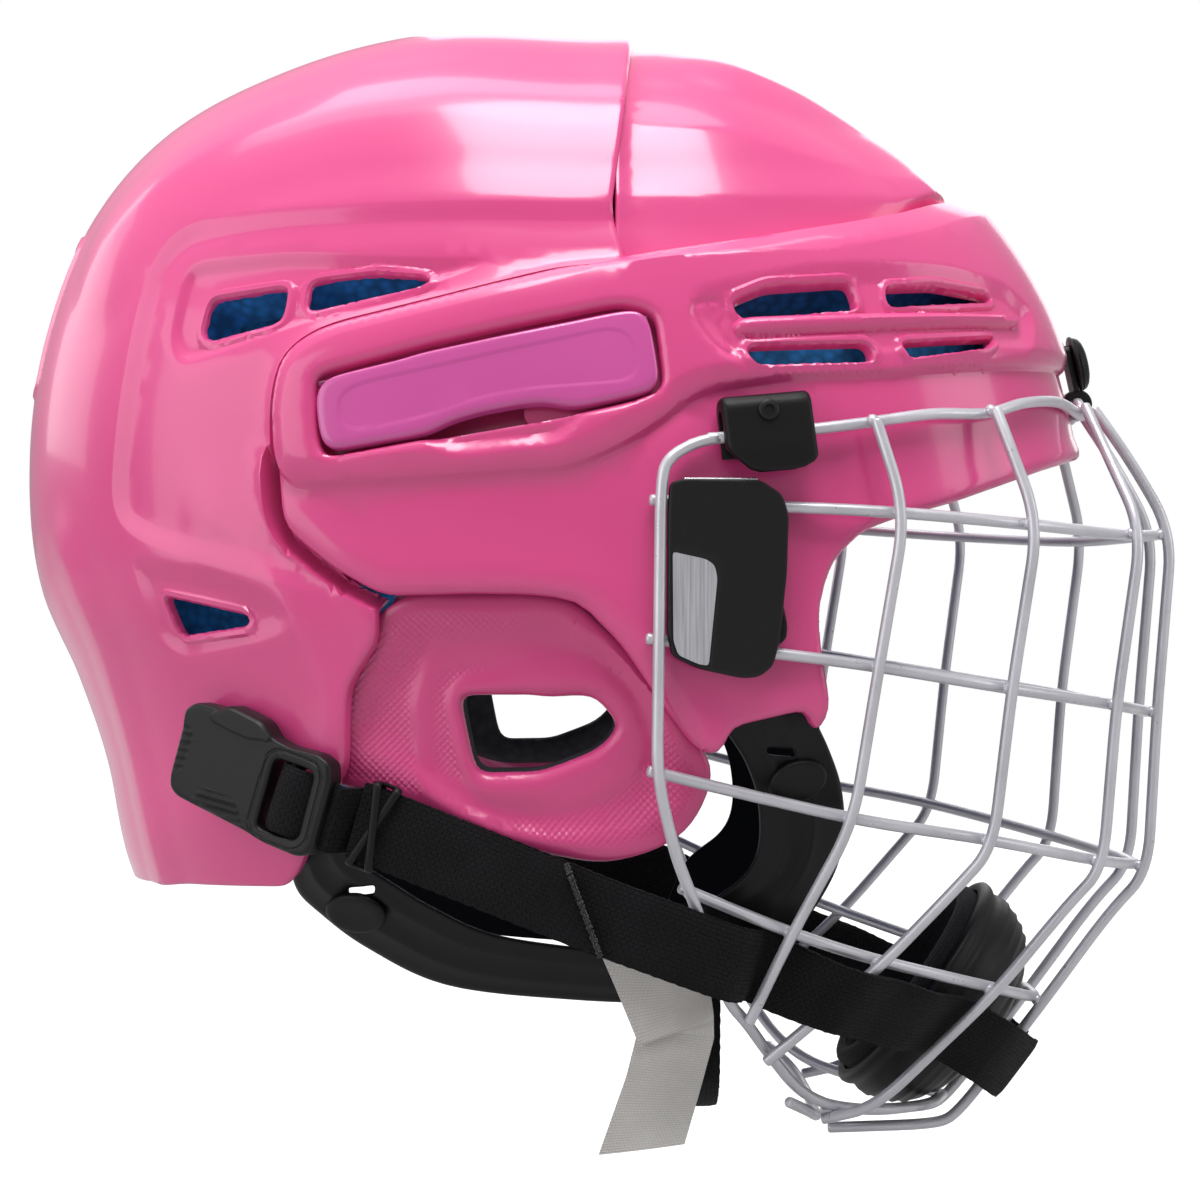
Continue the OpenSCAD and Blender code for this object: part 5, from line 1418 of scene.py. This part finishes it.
# the chin strap hangs from the inner sides of the front loops
end_x = float(half_width(-31.0, -48.0, F_TOP - 2.6 - LEAN * 56))
chin = mirrored(smooth([[-end_x + 2, -28.5, -43], [-end_x + 5, -28.5, -60], [-end_x + 10, -28.5, -72],
    [-30, -28.5, -80], [0, -28.5, -82]], 6))
ribbon("chin_webbing", chin, chin - np.array([0, -28.5, -30]), 15, 1.5, "shell", 0.08, node=["chin_strap"])


# Buckles, their posts and the webbing in them
def turn(x=0, y=0, z=0):
    """Matrix that turns by degrees, first about x."""
    return np.array(Matrix.Rotation(math.radians(z), 3, "Z") @ Matrix.Rotation(math.radians(y), 3, "Y")
                    @ Matrix.Rotation(math.radians(x), 3, "X"))


def standing(at, m, way=1):
    """Placer for a flat piece at a point, turned by m: its height grows towards -X, and its width along Y or back."""
    return lambda ab, h: np.stack([-np.asarray(h, float) + 0 * ab[:, 0], way * ab[:, 0], ab[:, 1]], -1) @ m.T + at


at_buckle = standing([-87.2, 56.5, -5], turn(z=-24) @ turn(x=20))
bk_outline = flat_line([[25, 6.8], [22.8, 8.9], [17.3, 9.6], [14.9, 11.2], [10.6, 11], [6.7, 10.7], [5, 9.6],
    [3.2, 8.2], [-0.8, 7.9], [-7.8, 8.9], [-11, 8], [-12.4, 4.4], [-13, -9.3], [-12.2, -11.7], [-10, -12.8],
    [-1.9, -13], [3.5, -12.3], [17.2, -11.6], [20.8, -11.4], [23, -10.2], [23.8, -7.5], [24.3, 2.4], [24.9, 5.2]],
    True, 3, 0.6)
bk_window = flat_line([[0.9, 4.8], [-7.2, 5.2], [-8.3, 4.4], [-9.2, -8.6], [-8.2, -9.9], [-0.2, -10.4],
    [0.9, -9.7], [1.5, 3.7]], True, 2, 0.5)
bk_top = flat_line([[18.6, 7.5], [17.2, 9.7], [14.9, 13], [5.6, 13], [4.4, 9.4], [3.5, 7.4], [5.2, 7.2],
    [8.9, 6.2], [14, 6.3], [18.3, 6.7]], True, 2, 0.5)
bk_pad = flat_line([[18, -12.4], [15.3, -7.7], [14.2, -7.1], [8.1, -7.1], [6.3, -8], [3, -13], [8, -14.5],
    [16, -14.5]], True, 2, 0.5)
bk_grip = flat_line([[27, 3.4], [23.8, 3.6], [21.7, 2.9], [21.2, 1.9], [21.2, -5.1], [22.6, -6.3], [27, -6.3]],
    True, 2, 0.5)


def buckle_high(c, yz):
    y, z = yz[:, 0], yz[:, 1]
    d = -distance(c, bk_outline)
    w = distance(c, bk_window)
    h = 2.5 - edge_round(d, 1.0) - edge_round(w, 0.8)
    h += 0.5 * ramp(-distance(c, bk_top), -0.25, 0.25) * ramp(d, 0, 0.8)
    low = ramp(-distance(c, bk_pad), -0.25, 0.25)
    h += low * (0.3 - 0.22 * (1 + np.cos((z + 0.12 * y) * 2 * PI / 1.5))) * ramp(d, 0.1, 0.9)
    grip = ramp(-distance(c, bk_grip), -0.25, 0.25)
    h += grip * (0.1 - 0.22 * (1 + np.cos((z + 0.25 * y) * 2 * PI / 1.8))) * ramp(d, 0.1, 0.9)
    h -= 0.25 * (1 - ramp(np.abs(w - 2.0), 0.15, 0.4)) * (w > 0) * (y < 3.5)
    return h


extra_bk = feature((bk_top, [-0.3, 0, 0.3]), (bk_pad, [-0.3, 0, 0.3]), (bk_grip, [-0.3, 0, 0.3]),
    (bk_window, [1.6, 1.85, 2.15, 2.4]))
# finer grids of points, along the ribs of the buckle's grip and of its pad
for ys, zs, lean in ((np.arange(20.5, 25, 0.6), np.arange(-1.8, 10.2, 0.3), 0.25),
                     (np.arange(3.5, 18, 0.7), np.arange(-12, -4.8, 0.25), 0.12)):
    gy, gz = np.meshgrid(ys, zs)
    extra_bk = np.vstack([extra_bk, np.stack([gy.ravel(), (gz - lean * gy).ravel()], -1) / SPREAD])
# the webbing's way through the buckle, in the buckle's own place
threaded = np.array([[-14.4, -3.2, -0.8], [-12.6, -2.9, -1.0], [-10, -2.7, -0.7], [-8.2, -2.6, 0.6], [-6, -2.6, 1.9],
    [-3.6, -2.6, 2.2], [-1.6, -2.6, 1.5], [-0.6, -2.6, 0.0], [-1.4, -2.6, -1.5], [-4, -2.6, -1.9]])
path = smooth(np.vstack([[[-87.0, 40.7, -13]], at_buckle(threaded[:, :2], threaded[:, 2])]), 5)
up = at_buckle(np.array([[0, 10.0]]), [0]) - at_buckle(np.array([[0, 0.0]]), [0])
nrm = np.cross(np.gradient(path, axis=0), np.repeat(up, len(path), 0))
nrm *= np.where(nrm[0, 0] < 0, 1, -1)
turned = at_buckle(np.array([[-2.4, z] for z in np.linspace(-11, 6, 9)]), np.zeros(9))
for left, sd, k in SIDES:
    o = slab("webbing_buckle_" + sd, bk_outline, [bk_window], buckle_high, level(-2.6), at_buckle, black, extra_bk,
        1.1, left, angle=35)
    put(o, "rear", "black_plastic", "strap_buckle_" + sd)
    ribbon("buckle_webbing_" + sd, path * k, nrm * k, 14.2, 1.5, "rear", 0.05)
    # bar that the webbing turns round
    o = loft_mesh("buckle_bar_" + sd, np.array(wire_rings(turned, 0.9, 14)) * k, black, angle=60)
    put(o, "rear", "black_plastic")


def lathe(at, axis, prof, seg=32):
    """Turned piece: profile of (radius, height) along an axis."""
    n = unit(axis)
    u = unit([0, 0, 1] - n * n[2])
    v = np.cross(n, u)
    g = np.arange(seg)[:, None] * 2 * PI / seg
    spoke = u * np.cos(g) + v * np.sin(g)
    return np.vstack([np.asarray(at) + n * h + spoke * max(r, 0.01) for r, h in prof]), skin(len(prof), seg)


at, n = facing((68, 0), LIP, 0, 0)
pair("buckle_post_studs", lathe(at + n * 0.2, n, [(3.4, 0), (3.5, 0.15), (3.5, 1.5), (3.3, 1.85), (2.9, 2),
    (1.6, 1.9), (1.3, 1.5), (0.01, 1.5)]), bright_steel, "rear", "screws", "strap_posts")

# elastic loops, crossed over the webbing
keeper_at = np.array([-87.3, 36.6, -14.4])
keeper_m = turn(z=-3.4) @ turn(x=20.4)
bands = []
for sgn in (1, -1):
    a = np.linspace(0, 2 * PI, 72, endpoint=False)
    ca, sa = np.cos(a), np.sin(a)
    x = -1.2 - 2.75 * np.sign(ca) * np.abs(ca) ** 0.35
    z = 9.0 * np.sign(sa) * np.abs(sa) ** 0.42
    y = sgn * 0.19 * z * np.where(x < -1.2, 1.35, -1.0)
    p = np.stack([x - (0.7 if sgn > 0 else 0.0) * (x < -3), y, z], -1)
    p = soften(p, 2, True) @ keeper_m.T + keeper_at
    t, _, _ = frames(p, True)
    out = unit(p - (keeper_at - [1.2, 0, 0]))
    out = unit(out - t * (out * t).sum(1)[:, None])
    over = np.cross(t, out)
    g = np.arange(10)[:, None] * 2 * PI / 10
    rings = [p[i] + out[i] * np.cos(g) * 0.45 + over[i] * np.sin(g) * 0.9 for i in range(len(p))]
    bands.append((np.vstack(rings), skin(len(p), 10, True)))
for left, sd, k in SIDES:
    o = joined("elastic_keeper_" + sd, [(v * k, f) for v, f in bands], black_soft, 60)
    put(o, "cage", "webbing", "strap_keeper_" + sd)

# Side clips with their screws
clip_at = np.array([-89.5, -44.5, 66.75])
CLIP_LEAN = 8.8
clip_m = turn(x=-5.5, y=CLIP_LEAN, z=10.5)
lean_z = math.tan(math.radians(CLIP_LEAN))


def clip_ring(y, cham, s):
    """Hook's section at a place along it, with its low edge cut back by cham and its sides drawn in by s."""
    lo = -8.3 + cham
    a = np.linspace(0, PI / 2, 7)

    def cx(z):
        return -z * lean_z

    out = [(-4.1 + s, lo + 0.8), (-4.1 + s, -2), (-4.1 + s, 4.2)]
    out += [(-0.9 - (3.2 - s) * math.cos(t), 5.1 + (3.2 - s) * math.sin(t)) for t in a]
    out += [(0.3 + (2.9 - s) * math.sin(t), 5.4 + (2.9 - s) * math.cos(t)) for t in a]
    out += [(3.2 - s, 3), (3.2 - s, 0), (3.2 - s, -3.6), (2.9 - s, -4.1)]
    out += [(1.7 + s * 0.4 + cx(-4) - 0.2, -4.1), (1.7 + s * 0.4 + cx(-3.6) - 0.35, -3.6),
            (1.7 + s * 0.2 + cx(0), 0), (1.6 + cx(3.4), 3.4)]
    out += [(cx(4) + 1.55 * math.cos(t), 4 + 1.6 * math.sin(t)) for t in np.linspace(0.15, PI - 0.15, 7)]
    out += [(-1.6 + cx(3.4), 3.4), (-1.7 + cx(0), 0), (-1.75 + cx(-5) - 0.2, -5 + cham * 0.5),
            (-1.9 + cx(-8) - 0.5, lo + 0.5), (-2.6 + s * 0.2, lo + s * 0.5), (-3.4 + s * 0.6, lo + s * 0.6),
            (-3.9 + s, lo + 0.3)]
    return [(x, y, z) for x, z in out]


# places along the clip, each with its edge's cut and its sides' draw
stations = [(-9.5, 2.6, 0.9), (-9.35, 2.1, 0.5), (-9.0, 1.7, 0.18), (-8.5, 1.3, 0), (-6.5, 0.4, 0), (-4, 0, 0),
    (0, 0, 0), (3, 0, 0), (5.0, 0.7, 0), (6.5, 2.2, 0), (8.5, 4.2, 0), (9.0, 4.8, 0.18), (9.35, 5.2, 0.5),
    (9.5, 5.6, 0.9)]
rings = np.array([clip_ring(*s) for s in stations]) @ clip_m.T + clip_at
for left, sd, k in SIDES:
    o = loft_mesh("rim_side_clip_" + sd, rings * k, black_soft, angle=48)
    put(o, "shell", "black_plastic", "side_clip_" + sd)
head = lathe(np.array([-4.12, 0, 4.4]) @ clip_m.T + clip_at, np.array([-1, 0, 0]) @ clip_m.T,
    [(2.25, 0), (2.25, 0.25), (2.1, 0.5), (1.7, 0.68), (1.0, 0.75), (0.85, 0.35), (0.01, 0.35)])
pair("clip_screw_heads", head, black, "shell", "screws", "clip_screws")

# Plates on the sides of the cage
at_plate = standing([-94.4, -24, 0], turn(z=5.9), -1)
pl_outline = flat_line([[0.2, 56.6], [3, 57.4], [19, 57.2], [23.6, 54.2], [24.9, 50], [24.5, 38], [23, 24],
    [21.6, 18.8], [18.6, 16.6], [15, 16.4], [6, 18.4], [0.6, 21], [-0.3, 26], [-0.2, 50]], True, 4, 0.6)
panel_line = flat_line([[0.3, 43], [7.9, 41.4], [9.8, 40], [10.5, 37], [8.6, 18.4], [6, 18.9], [1.6, 20.8],
    [0.4, 24]], True, 2, 0.5)
tab_line = flat_line([[12, 47], [20.4, 47], [22, 45.6], [22.9, 36.6], [24.9, 27.4], [24.7, 24.4], [22.3, 22.6],
    [19, 23.6], [12, 26]], True, 3, 0.6)


def plate_high(c, yz):
    d = -distance(c, pl_outline)
    return 1.5 - edge_round(d, 0.55) - 0.12 * ramp(-distance(c, panel_line), -0.12, 0.12)


brushed = Nodes("brushed_panel")
streaks = brushed.noise(brushed.coords("Object", (1, 1, 0.02)), 2600, 2, 0.6)
brushed.drive(Base_Color=brushed.mix(brushed.spread(streaks, 0, 1), lin(176, 176, 182), lin(206, 206, 210)),
              Roughness=brushed.spread(streaks, 0.3, 0.5))
brushed.set(Metallic=0.6)
silver_line = flat_line([[0.75, 42.4], [7.6, 40.9], [9.4, 39.7], [10.0, 37], [8.2, 19.0], [6.2, 19.3], [1.9, 21.2],
    [0.9, 24.2]], True, 2, 0.5)
# points along the plate's top edge for its painted highlight
plate_highlight_line = at_plate(np.array([[a, 57.35] for a in np.linspace(3.2, 18.4, 12)]), np.full(12, 0.85))
for left, sd, k in SIDES:
    o = slab("cage_plate_" + sd, pl_outline, [], plate_high, level(0.0), at_plate, black,
        feature((panel_line, [-0.15, 0, 0.15])), 1.6, left, angle=35)
    put(o, "cage", "black_plastic", "side_plate_" + sd)
    o = slab("plate_panel_" + sd, silver_line, [], level(1.52), level(1.3), at_plate, brushed.mat, None, 2.0, left)
    put(o, "cage", "black_plastic")
    o = slab("plate_rear_tab_" + sd, tab_line, [], lambda c, yz: -0.35 - edge_round(-distance(c, tab_line), 0.5),
        level(-1.9), at_plate, black_soft, None, 2.0, left)
    put(o, "cage", "black_plastic")
    # painted highlight along the plate's top edge, made as a thin rod of bright steel
    o = loft_mesh("plate_edge_highlight_" + sd, np.array(wire_rings(plate_highlight_line, 0.28, 8)) * k, bright_steel, angle=60)
    put(o, "cage", "screws")

# Brow clip and bumper
brow_face = np.array([0, -118.9, 83.5])
brow_m = turn(x=-12.4)


def at_brow(xz, h):
    """Place on the brow: across and up, with the height growing forwards."""
    return np.stack([xz[:, 0], -np.asarray(h, float) + 0 * xz[:, 0], xz[:, 1]], -1) @ brow_m.T + brow_face


cl_outline = flat_line([[-4, -4.2], [-4, 7], [-3, 8], [3, 8], [4, 7], [4, -4.2], [3, -5], [-3, -5]], True, 2, 0.5)
o = slab("brow_clip_plate", cl_outline, [], lambda c, yz: 1.6 - edge_round(-distance(c, cl_outline), 0.5),
    level(0.05), at_brow, black, None, 1.2)
put(o, "shell", "black_plastic", "forehead_clip")
g = np.linspace(0, 2 * PI, 40, endpoint=False)
prof = [(-4, 1.75), (-4, 3.0), (-3.7, 3.3), (-3.2, 3.4), (3.2, 3.4), (3.7, 3.3), (4, 3.0), (4, 1.75)]
rings = [np.stack([np.full(40, x), hinge[1] + r * np.cos(g), hinge[2] + r * np.sin(g)], -1) for x, r in prof]
o = loft_mesh("brow_clip_eye", rings, black, closed=True, angle=40)
put(o, "shell", "black_plastic")
cap = lathe(at_brow(np.array([[0, 3.2]]), [1.6])[0], np.array([0, -1, 0]) @ brow_m.T, [(6.3, 0), (6.6, 0.15),
    (6.7, 0.5), (6.5, 0.85), (6.15, 0.95), (6.1, 1.15), (6.2, 1.3), (5.8, 2.1), (5.0, 2.7), (3.8, 3.1), (2.2, 3.35),
    (0.01, 3.45)], 48)
put(joined("brow_bumper_button", [cap], black_soft), "shell", "rubber", "forehead_bumper")

# Chin cup
cup_axis, cup_up, cup_c = np.array([0, -0.8, -0.6]), np.array([0, -0.6, 0.8]), np.array([0, -77.5, -52])


def cup_point(f, a, d):
    """Point of the bowl at f degrees from its nose and a round it, with a depth d under its outside."""
    e = 2 / 3
    f = np.radians(f)
    w = (34.5 - d) * np.sin(f) ** e
    x = w * np.cos(a)
    up = (28.5 - d) * np.sin(f) ** e * np.sin(a)
    return (cup_c + cup_axis * ((27.5 - d) * np.cos(f) ** e)[..., None] + np.stack([x, 0 * x, 0 * x], -1)
            + cup_up * up[..., None])


def bowl(name, d0, d1, f1, mat, relief, node, slot, rim):
    """Cup from a depth d0 to d1 under the outside, open past f1 degrees, with a rounded rim."""
    a = np.arange(96) * 2 * PI / 96
    near = [0.6, 3, 7, 12, 18]
    rings = [cup_point(np.full(96, f), a, d0 + relief(f, a)) for f in near + list(np.linspace(24, f1, 44))]
    for k in np.linspace(0, PI, 7)[1:-1]:
        m = (d0 + d1) / 2 + (d0 - d1) / 2 * math.cos(k)
        rings.append(cup_point(np.full(96, f1 + rim * math.sin(k)), a, np.full(96, m)))
    rings += [cup_point(np.full(96, f), a, np.full(96, d1)) for f in list(np.linspace(f1, 24, 30)) + near[::-1]]
    steps = np.linalg.norm(np.diff(rings, axis=0), axis=2).mean(1)
    uvs = [np.stack([a * 30, np.full(96, d)], -1) for d in np.concatenate([[0], np.cumsum(steps)])]
    return put(loft_mesh(name, rings, mat, uv=uvs, angle=50), "cage", slot, node)


def cup_relief(f, a):
    """Ribs round the cup near its rim, broken at the strap's seat, and a flat seat for the strap."""
    side = np.abs(np.cos(a)) ** 2
    r = np.zeros_like(a)
    for k in (50, 57, 64, 71):
        r += -0.35 * np.clip(1 - abs(f - k) / 1.8, 0, 1) * (0.25 + 0.75 * (1 - side))
    r += 0.8 * np.exp(-((f - 78) / 2.2) ** 2)
    r += 0.5 * np.exp(-((f - 36) / 3.0) ** 2)
    return r


bowl("chin_cup_shell", 0, 3, 83, black_soft, cup_relief, "chin_cup", "rubber", 1.6)
o = bowl("chin_cup_lining", 3.3, 7.3, 86, dark_pad, lambda f, a: 0 * a, "chin_cup_pad", "pad", 2.2)

# Care label: tape folded over on itself. Each station has its two edges as [y, z] and how far they stand off.
LABEL_W, m = 22, 15  # its nominal width, and its points across
lab = np.array([[-33, -46.5, -10, -42, 0, 0], [-34.2, -55.8, -18.5, -62.6, 1.9, 1.9],
    [-34.4, -61.1, -18.2, -58.6, -0.3, -0.3], [-31.8, -70.6, -15.6, -68.8, 0.2, 0.5],
    [-28, -83.4, -9.7, -85.6, 1.2, -0.3]])
lab = soften(np.array([lab[i] * (1 - k) + lab[i + 1] * k for i in range(4) for k in np.linspace(0, 1, 13)[:-1]]
    + [lab[-1]]), 1, False)
la, lb, off = lab[:, :2], lab[:, 2:4], lab[:, 4:]
s = np.linspace(0, 1, m)
rings, uvs, run_v = [], [], 0.0
for i in range(len(la)):
    q = la[i] * (1 - s)[:, None] + lb[i] * s[:, None]
    if i:
        run_v += float(np.linalg.norm((la[i] + lb[i] - la[i - 1] - lb[i - 1]) / 2))
    h = np.maximum(q[:, 1], -50)
    x = -half_width(q[:, 0], h, R_TOP - R_LEAN * (-16 - h)) - GAP - 0.55 - off[i, 0] * (1 - s) - off[i, 1] * s
    x = x - 0.5 * np.sin(s * PI) * (i / len(la)) - 0.25 * np.sin(run_v * 0.35) * (s - 0.5)
    front, rear = [np.stack([x + t, q[:, 0], q[:, 1]], -1) for t in (-0.2, 0.2)]
    rings.append(np.vstack([front, rear[::-1]]))
    u = np.concatenate([s, s[::-1]]) * LABEL_W
    uvs.append(np.stack([u, np.full(2 * m, run_v)], -1))
o = loft_mesh("care_label_tape", rings, white_tape, uv=uvs, angle=35)
put(o, "shell", "label", "care_label")
face = np.array(rings)[:, :m]
a, b, c, d = face[:-1, :-1], face[:-1, 1:], face[1:, 1:], face[1:, :-1]
area = sum(np.linalg.norm(np.cross(p, q), axis=-1).sum() / 2 for p, q in ((b - a, c - a), (c - a, d - a)))

# Hinge pins of the levers
ax_a, ax_b = on_dome(46.5, 77.6, BROW - 1.3), on_dome(-18.0, 90.5, BROW - 1.3)
tt = unit(ax_b - ax_a)
pins = []
for q, s in ((ax_a, -1), (ax_b, 1)):
    rg = wire_rings([q + tt * s * (1.6 + k) for k in np.linspace(-2.9, 0.3, 5)], 0.7, 14)
    pins += [(np.vstack(rg) * k, skin(len(rg), 14)) for *_, k in SIDES]
dark_steel = metal("dark_steel", lin(120, 62, 88), 0.4)
put(joined("lever_hinge_pins", pins, dark_steel, 50), "shell", "screws", "lever_pins")


# Share of the white background that gloss and metal see
GLOSS_SEES = 0.35

# Floor: bright to the camera, dimmer to gloss, and clear from below
FLOOR_Z, FLOOR_HALF, FLOOR_GLOW = -0.125, 9, 0.78
me = bpy.data.meshes.new("floor")
me.from_pydata([(x * FLOOR_HALF, y * FLOOR_HALF, FLOOR_Z) for x, y in ((-1, -1), (1, -1), (1, 1), (-1, 1))], [],
    [(0, 1, 2, 3)])
o = bpy.data.objects.new("floor", me)
scene.collection.objects.link(o)
m = Nodes("floor_white")
m.set(Base_Color=(0.34, 0.34, 0.34, 1), Roughness=0.8, Specular_IOR_Level=0.1)
rays = m.add("LightPath").outputs
em = m.add("Emission")
lit = m.math("MAXIMUM", rays["Is Camera Ray"], rays["Is Transmission Ray"])
lit = m.math("MAXIMUM", lit, m.math("MULTIPLY", rays["Is Glossy Ray"], GLOSS_SEES))
m.link(m.math("MULTIPLY", lit, FLOOR_GLOW), em.inputs["Strength"])
both = m.add("AddShader")
m.link(m.shader.outputs[0], both.inputs[0])
m.link(em.outputs[0], both.inputs[1])
clear = m.add("BsdfTransparent")
under = m.add("MixShader")
m.link(m.add("NewGeometry").outputs["Backfacing"], under.inputs[0])
m.link(both.outputs[0], under.inputs[1])
m.link(clear.outputs[0], under.inputs[2])
m.link(under.outputs[0], m.tree.nodes["Material Output"].inputs["Surface"])
me.materials.append(m.mat)

# World: a studio, bright above and behind, darker low down and on the photographer's side, and white to the camera
w = Nodes("world", bpy.data.worlds.new("world"))
scene.world = w.mat
w.set(Color=(1, 1, 1, 1))
way = w.add("SeparateXYZ")
w.link(w.add("TexCoord").outputs["Generated"], way.inputs[0])


def studio(axis, a, b, lo, hi):
    """Brightness from lo to hi, as the direction's part along an axis goes from a to b."""
    return w.spread(way.outputs[axis], lo, hi, a, b, "SMOOTHSTEP")


glow = w.math("ADD", studio(2, -0.1, 0.9, 0.12, 0.66), studio(1, -0.3, 0.8, 0.0, 0.3))
glow = w.math("MULTIPLY", glow, studio(0, -1.0, -0.1, 0.58, 1.0))
rays = w.add("LightPath").outputs
gloss = w.spread(rays["Is Glossy Ray"], 0, GLOSS_SEES, 0, 1)
seen = w.math("MAXIMUM", rays["Is Camera Ray"], rays["Is Transmission Ray"])
w.drive(Strength=w.math("MAXIMUM", w.math("MAXIMUM", glow, gloss), seen))

# Lamps: name, place, target, width and height, watts
LAMPS = (("key", (-0.55, -0.15, 1.35), (0, 0, 0.05), (0.7, 0.55), 12),
    ("top", (0.1, 0.2, 1.5), (0, 0, 0.05), (1.1, 1.1), 10),
    ("side", (-1.1, 1.25, 0.35), (0, 0, 0.03), (1.3, 1.3), 9),
    ("front", (-0.3, -1.5, 0.45), (0, 0, 0), (0.8, 0.8), 3.5),
    ("back", (0.6, 1.3, 0.6), (0, 0, 0.05), (0.9, 0.9), 4),
    ("far", (1.4, -0.3, 0.6), (0, 0, 0.03), (0.9, 0.9), 4))
for name, at, target, size, power in LAMPS:
    d = bpy.data.lights.new(name, "AREA")
    d.shape = "RECTANGLE"
    d.size, d.size_y = size
    d.energy = power
    o = bpy.data.objects.new(name, d)
    o.location = at
    o.rotation_euler = (Vector(target) - Vector(at)).to_track_quat("-Z", "Y").to_euler()
    scene.collection.objects.link(o)
